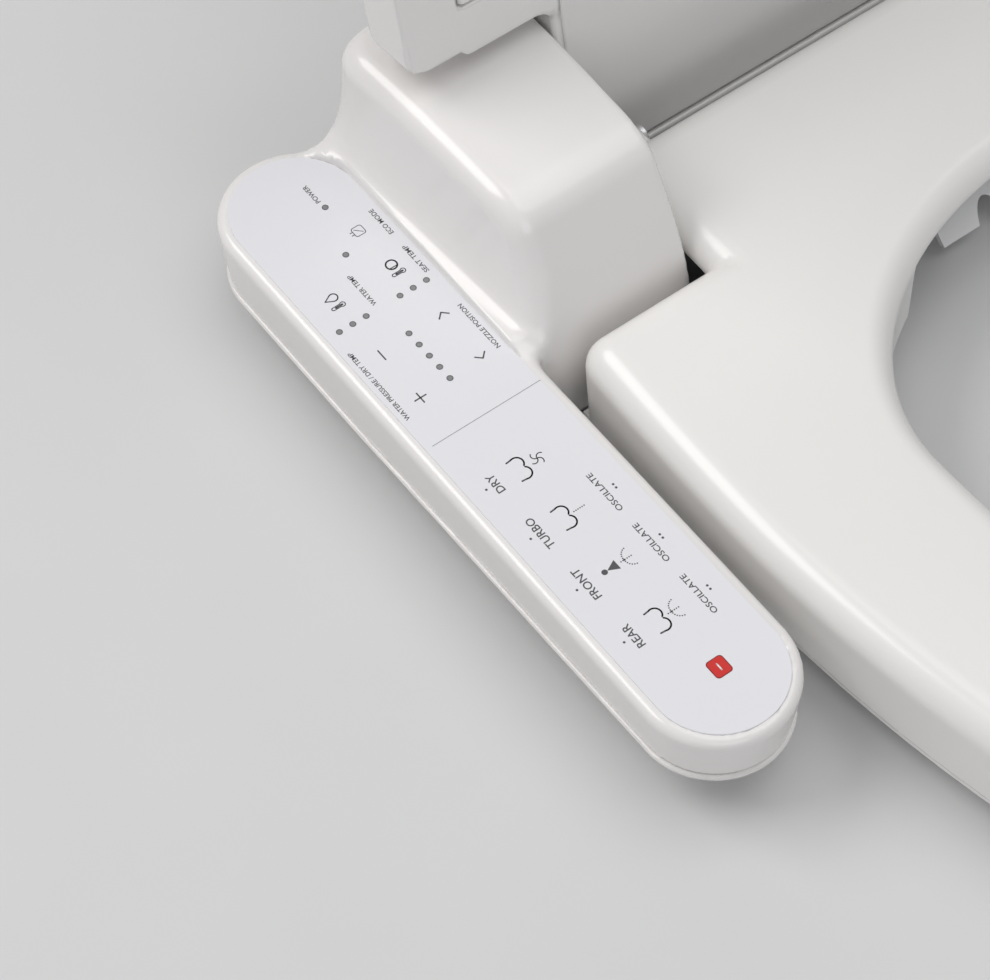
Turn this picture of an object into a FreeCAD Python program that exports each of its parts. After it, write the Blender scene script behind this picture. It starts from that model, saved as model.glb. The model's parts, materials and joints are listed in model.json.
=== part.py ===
import FreeCAD, Part
import Sketcher
import os
import re

# Electric bidet seat. Millimetres, +Z up, the front is -Y and the seated user's left is +X.
# The origin is midway between the two bowl bolts, on the plane of the bowl's rim.
# The lid is stored raised, the seat lowered.

os.makedirs("parts", exist_ok=True)
doc = FreeCAD.newDocument("bidet_seat")
dims = doc.addObject("Spreadsheet::Sheet", "Dims")

SIZES = {
    # hinge line, shared by seat and lid, along X
    "hinge_back": -15, "hinge_up": 38, "lid_open": 100,
    "pin_radius": 4, "pin_play": 0.05, "pin_end": 2, "pin_short": 12,
    "lid_lug_gap": 1.7, "lid_lug_wide": 5.8, "lid_lug_radius": 9,
    "seat_lug_gap": 3, "seat_lug_wide": 10, "seat_lug_radius": 6.2,
    "web_top": 44, "groove_play": 0.5, "damper_radius": 10, "damper_end": 4, "press_play": 0.02,
    "gap": 0.3, "merge": 1, "through": 40,
    # rear housing
    "housing_rear": 50, "housing_low": 3, "wall": 2.5,
    "block_beside": 1, "block_wide": 53.5, "block_radius": 57, "block_tail": 82,
    "tail_turn": 20, "bridge_share": 0.8, "bridge_rear": 42,
    "bridge_in": 3.5, "flare_share": 0.7, "flare_rear": 38,
    "trough_play": 1.5, "trough_top": 62, "flare_round": 12,
    "cable_front": 40, "cable_rear": 20, "cable_low": 18, "cable_in": 5.5,
    "floor_low": 4.3, "floor_thick": 3,
    "foot_radius": 9, "foot_in": 22, "foot_rear": 28, "foot_front": 40,
    "screw_in": 9, "screw_front": 61, "screw_rear": 41,
    "screw_radius": 1.4, "screw_way": 1.9, "screw_top": 20,
    "head_radius": 3.2, "head_tall": 1.6, "boss_radius": 7,
    "boss_top": 24, "boss_deep": 22, "boss_pilot": 1.5,
    # bowl mounting
    "bolt_spacing": 140, "slot_radius": 4.25, "slot_length": 20, "plate_thick": 4,
    "plate_length": 190, "plate_front": 30, "plate_rear": 22, "bolt_room": 11,
    # side arm and panel
    "arm_beside": 7.5, "arm_half": 26.5, "arm_rear": 51, "arm_front": 218, "arm_top": 42,
    "arm_low": 12, "arm_skin": 2.2, "lip_out": 1.1, "lip_tall": 2.4, "rim_round": 3.4,
    "film_half": 22.2, "film_rear": 47.0, "film_front": 214.0, "film_thick": 0.8,
    "board_half": 19, "board_thick": 1.6, "board_up": 30, "board_end": 8,
    "key_travel": 0.5, "key_play": 0.25, "film_play": 0.1, "stem_radius": 2.5,
    "cap_under": 1.6, "stem_tall": 1.5, "switch_half": 3, "switch_play": 0.1,
    "lamp_half": 0.8, "lamp_tall": 1.2, "lamp_pitch": 5.45, "level_pitch": 5.2, "level_back": 24.7,
    "water_level": 12, "seat_level": 11.7,
    # seat
    "seat_half": 173, "seat_mid": 150, "seat_front_reach": 310, "seat_rear_reach": 495,
    "ear_rear": 75, "centre_play": 2, "seat_rear": 21,
    "seat_low": 10, "seat_top": 50, "seat_thin_low": 38, "seat_wall": 2.5,
    "open_half": 105.5, "open_mid": 175, "open_front_reach": 217, "open_rear_reach": 77,
    "recess_half": 60, "recess_front": 112, "recess_back_front": 82,
    "bumper_radius": 8, "bumper_in": 35, "bumper_back": 160,
    "front_bumper_across": 60, "front_bumper_in": 36,
    "heater_in": 12, "heater_thick": 0.8, "heater_rear": 95,
    # lid
    "lid_low": 51.2, "lid_top": 77, "lid_wall": 3, "lid_ear_rear": 75.5, "neck_play": 1.5,
    "lid_step_in": 21, "lid_step_rear": 72.8,
    "neck_proud": 1, "neck_low": 50.5, "neck_rear": 4.8, "neck_front": 92,
    "lid_edge_round": 9, "liner_thick": 2.5, "liner_lift": 0.8, "liner_tongue": 96, "tongue_rear": 52,
    "lid_web_back": 2, "lid_bumper_radius": 6,
    # nozzles, sloping down to the front
    "nozzle_slope": 20, "nozzle_radius": 5.5, "nozzle_apart": 18,
    "nozzle_tip": 84, "nozzle_tip_up": 9, "nozzle_play": 0.35,
    "spray_back": 78, "spray_low": 13, "spray_radius": 0.8,
    "guide_half": 20, "guide_front": 73.5, "guide_rear": 34, "guide_top": 32.6,
    "guard_half": 30, "guard_front": 95, "guard_rear": 74.3, "guard_low": 8, "guard_top": 27,
    "guard_thick": 2.4, "guard_lean": 3.84, "guard_play": 0.6,
    "motor_front": 60, "motor_rear": 37, "motor_up": 19, "motor_out": 74, "motor_in": 56, "motor_radius": 9,
    "shaft_end": 52, "shaft_radius": 1.5,
    "valve_out": 46, "valve_in": 26, "valve_front": 68, "valve_rear": 34, "valve_top": 26, "drive_back": 45,
    "drive_top": 32, "drive_radius": 7,
    # nozzle and dryer bay under the rear of the seat
    "bay_half": 80, "bay_front": 74, "bay_rear": 21.5, "bay_top": 35.5, "slit_half": 17, "slit_top": 24,
    # water side, in the left shoulder
    "inlet_radius": 10.4, "inlet_length": 14, "inlet_up": 21, "inlet_rear": 10,
    "collar_radius": 12.8, "collar_in": 9, "collar_out": 2, "inlet_bore": 4.5,
    "tank_in": 3.5, "tank_out": 34.5, "tank_front": 2, "tank_rear": 42, "tank_top": 47, "tank_wall": 2,
    "leg_in": 12.5, "leg_out": 25.5, "leg_back": 21, "leg_low": 10, "leg_top": 40, "leg_radius": 3,
    "bend_low": 34, "bend_top": 39, "bend_half": 2.5,
    "solenoid_in": 9.5, "solenoid_out": 35.5, "solenoid_front": 56, "solenoid_rear": 30, "solenoid_top": 22,
    "coil_across": 22.5, "coil_back": 43, "coil_top": 46, "coil_radius": 10,
    # mains side, in the right shoulder
    "supply_out": 45.5, "supply_in": 7.5, "supply_front": 46, "supply_rear": 24, "supply_top": 25,
    "main_front": 2, "main_rear": 40, "main_low": 30, "main_top": 31.6,
    "relay_out": 39.5, "relay_in": 25.5, "relay_front": 8, "relay_rear": 26, "relay_top": 44,
    "can_across": 15.5, "can_rear": 14, "can_top": 50, "can_radius": 6,
    "chip_in": 29.5, "chip_front": 29, "chip_rear": 38, "chip_top": 34,
    "gland_in": 24, "gland_up": 17, "gland_radius": 6.8,
    "gland_half": 6, "flange_radius": 9, "flange_thick": 2,
    "gland_bore": 3.4,
    # dryer
    "blower_radius": 19, "blower_across": 43, "blower_back": 44,
    "case_low": 8.5, "case_top": 28.5, "case_wall": 1.5,
    "eye_radius": 9, "spout_front": 64, "spout_rear": 46, "fan_low": 11, "fan_top": 24.5, "fan_plate": 12.5,
    "fan_radius": 15, "hub_radius": 4.5, "blade_in": 8, "blade_half": 0.5,
    "duct_in": 31, "duct_out": 55, "duct_low": 11, "duct_tall": 16, "duct_wall": 1.2,
    "bar_front": 70, "bar_rear": 66, "bar_pitch": 4, "bar_thick": 0.8,
    "flap_thick": 1.4, "flap_gap": 0.4, "flap_drop": 0.8, "bead_up": 1.6, "bead_radius": 1.4,
    # release button on the left side
    "button_long": 26, "button_tall": 11, "button_back": 30,
    "button_up": 16, "button_in": 6, "button_proud": 4.5,
    "button_flange": 2,
}

# Keys: across the panel from its centre line towards the seat, forward from the centre of the
# five-lamp row, and the radius.
LAMP_ROW = 48
KEYS = {
    "stop_key": (1.1, 143.6, 12), "rear_wash_key": (0, 120, 10), "front_wash_key": (0, 97, 10),
    "turbo_key": (0, 74, 10), "dry_key": (0, 51.5, 10),
    "plus_key": (-11.8, 11.4, 7.8), "minus_key": (-11.8, -9.2, 7.8),
    "forward_key": (12.9, 10, 7.8), "backward_key": (12.9, -10.6, 7.8),
    "water_temp_key": (-11.6, -35.2, 7.4), "seat_temp_key": (11.6, -34.6, 7.4),
    "eco_key": (11.2, -54, 7),
}
SIZES["lamp_row"] = LAMP_ROW
for key, (across, forward, radius) in KEYS.items():
    SIZES[key + "_across"] = across
    SIZES[key + "_forward"] = forward
    SIZES[key + "_radius"] = radius

for row, (alias, value) in enumerate(SIZES.items(), 1):
    dims.set(f"A{row}", alias)
    dims.set(f"B{row}", str(value))
    dims.setAlias(f"B{row}", alias)
doc.recompute()

# Places that follow from the sizes above
DERIVED = {
    "block_out": "seat_half - block_beside",
    "block_in": "block_out - block_wide",
    "foot_across": "block_out - foot_in",
    "bumper_across": "seat_half - bumper_in",
    "arm_inner": "seat_half + arm_beside",
    "arm_across": "arm_inner + arm_half",
    "centre_half": "block_in - centre_play",
    "neck_half": "block_in - neck_play",
    "neck_radius": "block_radius + neck_proud",
    "lid_lug_out": "block_in - lid_lug_gap",
    "lid_lug_in": "lid_lug_out - lid_lug_wide",
    "seat_lug_out": "lid_lug_in - seat_lug_gap",
    "seat_lug_in": "seat_lug_out - seat_lug_wide",
    "pin_in": "seat_lug_in - pin_end",
    "pin_out": "block_out - pin_short",
    "seat_front": "seat_mid + seat_front_reach",
    "bridge_front": "hinge_back - block_radius * bridge_share",
    "floor_top": "floor_low + floor_thick",
    "above_floor": "floor_top + gap",
    "skin_low": "arm_top - film_thick - arm_skin",
    "board_top": "board_up + board_thick",
    "cap_low": "arm_top - film_thick - cap_under",
    "duct_top": "duct_low + duct_tall",
    "nozzle_room": "bay_top - wall - gap - nozzle_tip_up - nozzle_radius * cos(nozzle_slope * 1 deg)",
    "nozzle_length": "nozzle_room / sin(nozzle_slope * 1 deg)",
    "flap_rear": "-bay_front - flap_gap",
}

ALONG = {
    "x": FreeCAD.Rotation(FreeCAD.Vector(0, 1, 0), 90),
    "y": FreeCAD.Rotation(FreeCAD.Vector(1, 0, 0), -90),
    "z": FreeCAD.Rotation(),
}


def bound(text):
    """An expression with every alias pointed at the sheet and every derived place spelled out."""
    def spelled(word):
        if word[0] in DERIVED:
            return "(" + bound(DERIVED[word[0]]) + ")"
        return "Dims." * (word[0] in SIZES) + word[0]
    return re.sub(r"[a-z_]+", spelled, str(text))


def box(name, x, y, z):
    """A block between two corners, each side given as its low and high expression."""
    part = doc.addObject("Part::Box", name)
    for size, axis, (low, high) in zip(("Length", "Width", "Height"), "xyz", (x, y, z)):
        part.setExpression(size, bound(f"({high}) - ({low})"))
        part.setExpression(f"Placement.Base.{axis}", bound(low))
    return part


def rod(name, along, centre, span, radius):
    """A cylinder along one axis; its centre is the two other coordinates, in x, y, z order."""
    part = doc.addObject("Part::Cylinder", name)
    part.Placement.Rotation = ALONG[along]
    part.setExpression("Radius", bound(radius))
    part.setExpression("Height", bound(f"({span[1]}) - ({span[0]})"))
    places = list(centre)
    places.insert("xyz".index(along), span[0])
    for axis, place in zip("xyz", places):
        part.setExpression(f"Placement.Base.{axis}", bound(place))
    return part


def fuse(name, *parts):
    whole = doc.addObject("Part::MultiFuse", name)
    whole.Shapes = list(parts)
    whole.Refine = True
    return whole


def common(name, *parts):
    shared = doc.addObject("Part::MultiCommon", name)
    shared.Shapes = list(parts)
    return shared


def cut(name, base, *tools):
    rest = doc.addObject("Part::Cut", name)
    rest.Base = base
    rest.Tool = tools[0] if len(tools) == 1 else fuse(name + "_tools", *tools)
    rest.Refine = True
    return rest


def rounded(name, base, radius, choose):
    """Rounds the edges that the test picks, by a radius from the sheet."""
    doc.recompute()
    edge = doc.addObject("Part::Fillet", name)
    edge.Base = base
    size = SIZES[radius]
    edge.Edges = [(i, size, size) for i, e in enumerate(base.Shape.Edges, 1) if choose(e)]
    return edge


def prism(name, plane, corners, span):
    """A body: a closed run of straight lines on an origin plane, padded over a span."""
    body = doc.addObject("PartDesign::Body", name)
    sketch = body.newObject("Sketcher::SketchObject", name + "_outline")
    flat = next(f for f in body.Origin.OriginFeatures if f.Role == plane)
    sketch.AttachmentSupport = (flat, [""])
    sketch.MapMode = "FlatFace"
    sketch.setExpression("AttachmentOffset.Base.z", bound(span[0]))
    count = len(corners)
    ring = [FreeCAD.Vector(10 * n, 10 * (n % 2) + n * n, 0) for n in range(count)]
    for n in range(count):
        sketch.addGeometry(Part.LineSegment(ring[n], ring[(n + 1) % count]))
    for n in range(count):
        sketch.addConstraint(Sketcher.Constraint("Coincident", n, 2, (n + 1) % count, 1))
    for n, (u, v) in enumerate(corners):
        for kind, text in (("DistanceX", u), ("DistanceY", v)):
            start = ring[n].x if kind == "DistanceX" else ring[n].y
            place = sketch.addConstraint(Sketcher.Constraint(kind, -1, 1, n, 1, start))
            sketch.setExpression(f"Constraints[{place}]", bound(text))
    pad = body.newObject("PartDesign::Pad", name + "_pad")
    pad.Profile = sketch
    pad.setExpression("Length", bound(f"({span[1]}) - ({span[0]})"))
    body.Tip = pad
    return body


def half_oval(name, half, reach, mid, z, front):
    """Half of an elliptic prism about the line y = -mid; half and reach are its half-axes along X and Y."""
    edge = doc.addObject("Part::Ellipse", name + "_edge")
    edge.setExpression("MajorRadius", bound(f"max({half}; {reach})"))
    edge.setExpression("MinorRadius", bound(f"min({half}; {reach})"))
    edge.Placement.Rotation = FreeCAD.Rotation(FreeCAD.Vector(0, 0, 1), 1)
    edge.setExpression("Placement.Rotation.Angle", bound(f"({reach}) > ({half}) ? 90 : 0"))
    edge.setExpression("Placement.Base.y", bound(f"-({mid})"))
    edge.setExpression("Placement.Base.z", bound(z[0]))
    solid = doc.addObject("Part::Extrusion", name + "_solid")
    solid.Base = edge
    solid.DirMode = "Custom"
    solid.Dir = FreeCAD.Vector(0, 0, 1)
    solid.Solid = True
    solid.setExpression("LengthFwd", bound(f"({z[1]}) - ({z[0]})"))
    y = (f"-({mid}) - ({reach})", f"-({mid})") if front else (f"-({mid})", f"-({mid}) + ({reach})")
    return common(name, solid, box(name + "_side", (f"-({half})", half), y, z))


def seat_ring(name, inset, z, rear="seat_rear"):
    """The seat's plan between two heights, drawn in from its outline, opening included."""
    half = f"seat_half - ({inset})"
    front = half_oval(name + "_bow", half, f"seat_front_reach - ({inset})", "seat_mid", z, True)
    flank = half_oval(name + "_flank", half, f"seat_rear_reach - ({inset})", "seat_mid", z, False)
    sides = common(
        name + "_sides", flank,
        box(name + "_ears", ("-seat_half", "seat_half"), ("-seat_mid", f"-ear_rear - ({inset})"), z),
    )
    middle = box(
        name + "_middle", (f"-centre_half + ({inset})", f"centre_half - ({inset})"),
        ("-seat_mid", f"-({rear}) - ({inset})"), z,
    )
    hole = f"open_half + ({inset})"
    return cut(
        name, fuse(name + "_plan", front, sides, middle),
        half_oval(name + "_hole_bow", hole, f"open_front_reach + ({inset})", "open_mid", z, True),
        half_oval(name + "_hole_stern", hole, f"open_rear_reach + ({inset})", "open_mid", z, False),
    )


def recess(name, grow, z):
    """The hollow under the seat's rear, over the nozzle and dryer bay."""
    return fuse(
        name,
        box(name + "_wide", (f"-centre_half - ({grow})", f"centre_half + ({grow})"),
            (f"-recess_back_front - ({grow})", "0"), z),
        box(name + "_narrow", (f"-recess_half - ({grow})", f"recess_half + ({grow})"),
            (f"-recess_front - ({grow})", "-recess_back_front"), z),
    )


def stadium(name, inset, z, rear="arm_rear", front="arm_front", half="arm_half"):
    """A round-ended bar in the side arm's place."""
    radius = f"{half} - ({inset})"
    x = (f"-arm_across - ({radius})", f"-arm_across + ({radius})")
    ahead, behind = f"-({front}) + ({half})", f"({rear}) - ({half})"
    return fuse(
        name,
        box(name + "_bar", x, (ahead, behind), z),
        rod(name + "_rear", "z", ("-arm_across", behind), z, radius),
        rod(name + "_front", "z", ("-arm_across", ahead), z, radius),
    )


def key_place(key):
    return f"-arm_across + {key}_across", f"-lamp_row - {key}_forward"


def mirrored(side, low, high):
    """A span across the middle plane's left (1) or right (-1) side."""
    return (low, high) if side > 0 else (f"-({high})", f"-({low})")


SIDES = {"left": 1, "right": -1}
nodes = {}


def node(name, part):
    part.Label = name
    nodes[name] = part
    return part


def shoulder(name, side, inset, low):
    """One hinge shoulder: round over the hinge line, falling away to the rear."""
    x = mirrored(side, f"block_in + ({inset})", f"block_out - ({inset})")
    radius = f"(block_radius - ({inset}))"
    rear = f"housing_rear - ({inset})"
    crown = common(
        name + "_crown",
        rod(name + "_round", "x", ("hinge_back", "hinge_up"), x, radius),
        box(name + "_above", x, ("-block_radius * 2", rear), (low, "block_radius * 2")),
    )
    foot = box(name + "_foot", x, (f"hinge_back - {radius}", rear), (low, "hinge_up"))
    tail = prism(
        name + "_tail", "YZ_Plane",
        [("hinge_back", "hinge_up"), (rear, "hinge_up"), (rear, f"block_tail - ({inset})"),
         (f"hinge_back + {radius} * sin(tail_turn * 1 deg)",
          f"hinge_up + {radius} * cos(tail_turn * 1 deg)")], x,
    )
    return fuse(name, crown, foot, tail)


SCREWS = [(side, back) for side in (1, -1) for back in ("-screw_front", "screw_rear")]


def screw_place(side, back):
    return ("" if side > 0 else "-") + "(block_out - screw_in)", back


def bowl_slots(name, z):
    """The two slots for the bowl bolts, running along X."""
    straight = "slot_length / 2 - slot_radius"
    slots = []
    for word, side in SIDES.items():
        middle = f"{side} * bolt_spacing / 2"
        slots.append(box(f"{name}_{word}", (f"{middle} - ({straight})", f"{middle} + ({straight})"),
                         ("-slot_radius", "slot_radius"), z))
        for end in (-1, 1):
            slots.append(rod(f"{name}_{word}_end", "z", (f"{middle} + {end} * ({straight})", "0"), z,
                             "slot_radius"))
    return fuse(name, *slots)


def make_base():
    plate = box("plate_blank", ("-plate_length / 2", "plate_length / 2"),
                ("-plate_front", "plate_rear"), ("0", "plate_thick"))
    node("mounting_plate", cut("mounting_plate", plate,
                               bowl_slots("slots", ("-merge", "plate_thick + merge"))))

    edge = "block_out - wall - gap"
    floor = box("floor_blank", (f"-({edge})", edge),
                ("hinge_back - block_radius + wall + gap", "housing_rear - wall - gap"),
                ("floor_low", "floor_top"))
    holes = [rod("bolt_room_" + word, "z", (f"{side} * bolt_spacing / 2", "0"),
                 ("floor_low - merge", "floor_top + merge"), "bolt_room") for word, side in SIDES.items()]
    holes += [rod("screw_way", "z", screw_place(side, back), ("floor_low - merge", "floor_top + merge"),
                  "screw_way")
              for side, back in SCREWS]
    node("base_plate", cut("base_plate", floor, *holes))

    feet = [rod("foot", "z", (f"{side} * (foot_across)", back), ("0", "floor_low"), "foot_radius")
            for side in (1, -1) for back in ("foot_rear", "-foot_front")]
    node("rubber_feet", fuse("rubber_feet", *feet))

    screws = []
    for side, back in SCREWS:
        place = screw_place(side, back)
        screws.append(fuse("screw", rod("screw_head", "z", place, ("floor_low - head_tall", "floor_low"),
                                        "head_radius"),
                           rod("screw_shank", "z", place, ("floor_low", "screw_top"), "screw_radius")))
    node("base_screws", fuse("base_screws", *screws))


def make_cover():
    """The rear housing's upper cover: two shoulders, the trough between them and the side arm."""
    arm = rounded("arm_rounded", stadium("arm_blank", "0", ("arm_low + lip_tall", "arm_top")),
                  "rim_round", lambda e: e.BoundBox.ZMin > SIZES["arm_top"] - 0.01)
    bridge = box("bridge", ("-arm_inner - bridge_in", "-block_out + merge"),
                 ("bridge_front", "bridge_rear"), ("housing_low", "arm_top"))
    flare = cut(
        "flare",
        box("flare_blank", ("-block_out - flare_round + merge", "-block_out + merge"),
            ("hinge_back - block_radius * flare_share", "flare_rear"),
            ("arm_top - merge", "arm_top + flare_round")),
        rod("flare_hollow", "y", ("-block_out - flare_round", "arm_top + flare_round"),
            ("-block_radius * 2", "block_radius * 2"), "flare_round"),
    )
    trough = cut(
        "trough",
        box("trough_blank", ("-block_in - merge", "block_in + merge"), ("0", "housing_rear"),
            ("above_floor", "trough_top")),
        rod("trough_round", "x", ("hinge_back", "hinge_up"), ("-block_out", "block_out"),
            "neck_radius + trough_play"),
    )
    rear = box("rear_wall", ("-block_in - merge", "block_in + merge"),
               ("housing_rear - wall", "housing_rear"),
               ("housing_low", "floor_top + merge"))
    outside = [shoulder(f"{word}_shoulder", side, "0", "housing_low") for word, side in SIDES.items()]
    solid = fuse("cover_solid", arm, bridge, flare, trough, rear, *outside)

    inside = [shoulder(f"{word}_hollow", side, "wall", "-merge") for word, side in SIDES.items()]
    inside += [
        stadium("arm_hollow", "arm_skin", ("arm_low", "skin_low")),
        box("bridge_hollow", ("-arm_inner - merge", "-block_out + wall + merge"),
            ("bridge_front + wall", "bridge_rear - wall"), ("-merge", "skin_low")),
        box("cable_way", ("-arm_inner - cable_in", "-block_out - merge"), ("-cable_front", "cable_rear"),
            ("cable_low", "skin_low")),
        stadium("film_seat", "-film_play", ("arm_top - film_thick", "arm_top + merge"), "film_rear",
                "film_front",
                "film_half"),
        box("inner_wall_trim", ("-block_in - wall - merge", "block_in + wall + merge"),
            ("-block_radius * 2", "housing_rear - wall"), ("-merge", "above_floor")),
        rod("inlet_way", "x", ("inlet_rear", "inlet_up"),
            ("block_out - wall * 2", "block_out + wall * 2"), "collar_radius + gap"),
        rod("gland_way", "y", ("-block_out + gland_in", "gland_up"),
            ("housing_rear - wall * 2", "housing_rear + wall"),
            "gland_radius + gap"),
        box("button_way", ("block_out - wall * 2", "block_out + wall * 2"),
            ("-button_back - button_long / 2 - gap", "-button_back + button_long / 2 + gap"),
            ("button_up - button_tall / 2 - gap", "button_up + button_tall / 2 + gap")),
    ]
    inside += [rod(f"{word}_pin_way", "x", ("hinge_back", "hinge_up"),
                   mirrored(side, "block_in - merge", "block_in + wall + merge"), "pin_radius + gap")
               for word, side in SIDES.items()]
    inside += [rod(key + "_way", "z", key_place(key), ("skin_low - merge", "arm_top + merge"),
                   f"{key}_radius + key_play") for key in KEYS]
    shell = cut("cover_shell", solid, *inside)
    bosses = [cut("boss", rod("boss_blank", "z", screw_place(side, back), ("above_floor", "boss_top"),
                              "boss_radius"),
                  rod("boss_way", "z", screw_place(side, back), ("0", "boss_deep"), "boss_pilot"))
              for side, back in SCREWS]
    inner = [common("boss_in", boss, shoulder("boss_limit", side, "wall / 2", "0"))
             for boss, (side, back) in zip(bosses, SCREWS)]
    node("upper_cover", fuse("upper_cover", shell, *inner))

    lip = cut("arm_bottom_cover", stadium("lip_blank", "-lip_out", ("arm_low", "arm_low + lip_tall")),
              box("lip_trim", ("-arm_inner - bridge_in - gap", "-block_out"),
                  ("bridge_front - gap", "bridge_rear + gap"), ("0", "arm_top")))
    node("arm_bottom_cover", lip)


def make_panel():
    """Film, keys, circuit board, switches and lamps of the side arm."""
    holes = [rod(key + "_hole", "z", key_place(key), ("skin_low", "arm_top + merge"),
                 f"{key}_radius + film_play") for key in KEYS]
    film = stadium("film_blank", "0", ("arm_top - film_thick", "arm_top"), "film_rear", "film_front",
                   "film_half")
    node("panel_film", cut("panel_film", film, *holes))
    switches = []
    for key in KEYS:
        cap = rod(key + "_cap", "z", key_place(key), ("cap_low", "arm_top"), f"{key}_radius")
        stem = rod(key + "_stem", "z", key_place(key), ("cap_low - stem_tall", "cap_low"), "stem_radius")
        node(key, fuse(key, cap, stem))
        x, y = key_place(key)
        switches.append(box(key + "_switch", (f"{x} - switch_half", f"{x} + switch_half"),
                            (f"{y} - switch_half", f"{y} + switch_half"),
                            ("board_top", "cap_low - stem_tall - key_travel - switch_play")))
    node("key_switches", fuse("key_switches", *switches))
    node("panel_board", stadium("panel_board", "0", ("board_up", "board_top"),
                                "arm_rear - board_end", "arm_front - board_end", "board_half"))
    places = [("-arm_across", f"-lamp_row + {step} * lamp_pitch") for step in (-2, -1, 0, 1, 2)]
    for middle in ("-water_level", "seat_level"):
        for step in (-1, 0, 1):
            places.append((f"-arm_across + {middle} + {step} * level_pitch", "-lamp_row + level_back"))
    lamps = [box("lamp", (f"{x} - lamp_half", f"{x} + lamp_half"), (f"{y} - lamp_half", f"{y} + lamp_half"),
                 ("board_top", "board_top + lamp_tall")) for x, y in places]
    node("indicator_lamps", fuse("indicator_lamps", *lamps))


def make_hinge():
    for word, side in SIDES.items():
        pin = rod(f"hinge_pin_{word}", "x", ("hinge_back", "hinge_up"), mirrored(side, "pin_in", "pin_out"),
                  "pin_radius")
        node(f"hinge_pin_{word}", pin)
    for name, side in (("lid_damper", 1), ("seat_damper", -1)):
        span = mirrored(side, "block_in + wall + gap", "pin_out - damper_end")
        node(name, cut(name, rod(name + "_can", "x", ("hinge_back", "hinge_up"), span, "damper_radius"),
                       rod(name + "_bore", "x", ("hinge_back", "hinge_up"), span,
                           "pin_radius + press_play")))


# The bumpers' places, shared by seat and lid: across, then along Y
BUMPERS = [("bumper_across", "-bumper_back"), ("front_bumper_across", "-seat_front + front_bumper_in")]


def make_seat():
    thin = ("seat_thin_low", "seat_top")
    outside = seat_ring("seat_outside", "0", ("seat_low", "seat_top"))
    inside = seat_ring("seat_inside", "seat_wall", ("seat_low - merge", "seat_top - seat_wall"))
    lugs, holes, grooves = [], [], []
    for word, side in SIDES.items():
        lugs.append(rod(f"seat_lug_{word}", "x", ("hinge_back", "hinge_up"),
                        mirrored(side, "seat_lug_in", "seat_lug_out"), "seat_lug_radius"))
        lugs.append(box(f"seat_web_{word}", mirrored(side, "seat_lug_in", "seat_lug_out"),
                        ("-seat_rear - seat_wall", "hinge_back"), ("hinge_up", "web_top")))
        holes.append(rod(f"seat_lug_hole_{word}", "x", ("hinge_back", "hinge_up"),
                         mirrored(side, "seat_lug_in - merge", "seat_lug_out + merge"),
                         "pin_radius + pin_play"))
        grooves.append(rod(f"seat_groove_{word}", "x", ("hinge_back", "hinge_up"),
                           mirrored(side, "lid_lug_in - groove_play", "lid_lug_out + merge"),
                           "lid_lug_radius + groove_play"))
    skin = cut("seat_skin", outside, inside, recess("seat_recess", "0", ("0", thin[0])))
    node("seat_top_shell", cut("seat_top_shell", fuse("seat_skin_lugs", skin, *lugs), *holes, *grooves))

    play = "seat_wall + gap"
    floor = seat_ring("seat_floor_ring", play, ("seat_low", "seat_low + seat_wall"))
    tall = seat_ring("seat_wall_ring", play, ("seat_low", "seat_thin_low + seat_wall"))
    step = common("seat_step", tall, recess("seat_step_limit", "seat_wall",
                                            ("seat_low", "seat_thin_low + seat_wall")))
    keep = [rod(f"lug_keep_{word}", "x", ("hinge_back", "hinge_up"),
                mirrored(side, "seat_lug_in - gap", "seat_lug_out + gap"), "seat_lug_radius + gap")
            for word, side in SIDES.items()]
    keep += [rod(f"groove_keep_{word}", "x", ("hinge_back", "hinge_up"),
                 mirrored(side, "lid_lug_in - groove_play", "lid_lug_out + merge"),
                 "lid_lug_radius + groove_play")
             for word, side in SIDES.items()]
    node("seat_bottom_shell", cut("seat_bottom_shell", fuse("seat_bottom_blank", floor, step),
                                  recess("seat_bottom_recess", "0", ("0", thin[0])), *keep))

    top = "seat_top - seat_wall - gap"
    warm = seat_ring("heater_ring", "heater_in", (f"{top} - heater_thick", top))
    node("seat_heater", common("seat_heater", warm, box("heater_limit", ("-seat_half", "seat_half"),
                                                        ("-seat_front", "-heater_rear"),
                                                        ("seat_low", "seat_top"))))
    feet = [rod("seat_bumper", "z", (f"{side} * {across}", back), ("0", "seat_low"), "bumper_radius")
            for side in (1, -1) for across, back in BUMPERS]
    node("seat_bumpers", fuse("seat_bumpers", *feet))


def lid_plate(name, inset, z):
    half = f"seat_half - ({inset})"
    bow = half_oval(name + "_bow", half, f"seat_front_reach - ({inset})", "seat_mid", z, True)
    flank = common(
        name + "_sides",
        half_oval(name + "_flank", half, f"seat_rear_reach - ({inset})", "seat_mid", z, False),
        box(name + "_ears", ("-seat_half", "seat_half"), ("-seat_mid", f"-lid_ear_rear - ({inset})"), z),
    )
    step = f"block_out - lid_step_in - ({inset})"
    behind = box(name + "_step", (f"-({step})", step),
                 ("-lid_ear_rear - lid_edge_round * 2", f"-lid_step_rear - ({inset})"), z)
    return fuse(name, bow, flank, behind)


def lid_neck(name, inset, low):
    """The lid's neck between the shoulders, flush with them."""
    half = (f"-neck_half + ({inset})", f"neck_half - ({inset})")
    crown = common(
        name + "_crown",
        rod(name + "_round", "x", ("hinge_back", "hinge_up"), half, f"neck_radius - ({inset})"),
        box(name + "_span", half, ("-neck_front", f"neck_rear - ({inset})"), (low, "neck_radius * 2")),
    )
    tongue = box(name + "_tongue", half, (f"-neck_front - ({inset})", "-tongue_rear"),
                 (low, f"lid_top - ({inset})"))
    return fuse(name, crown, tongue)


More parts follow.
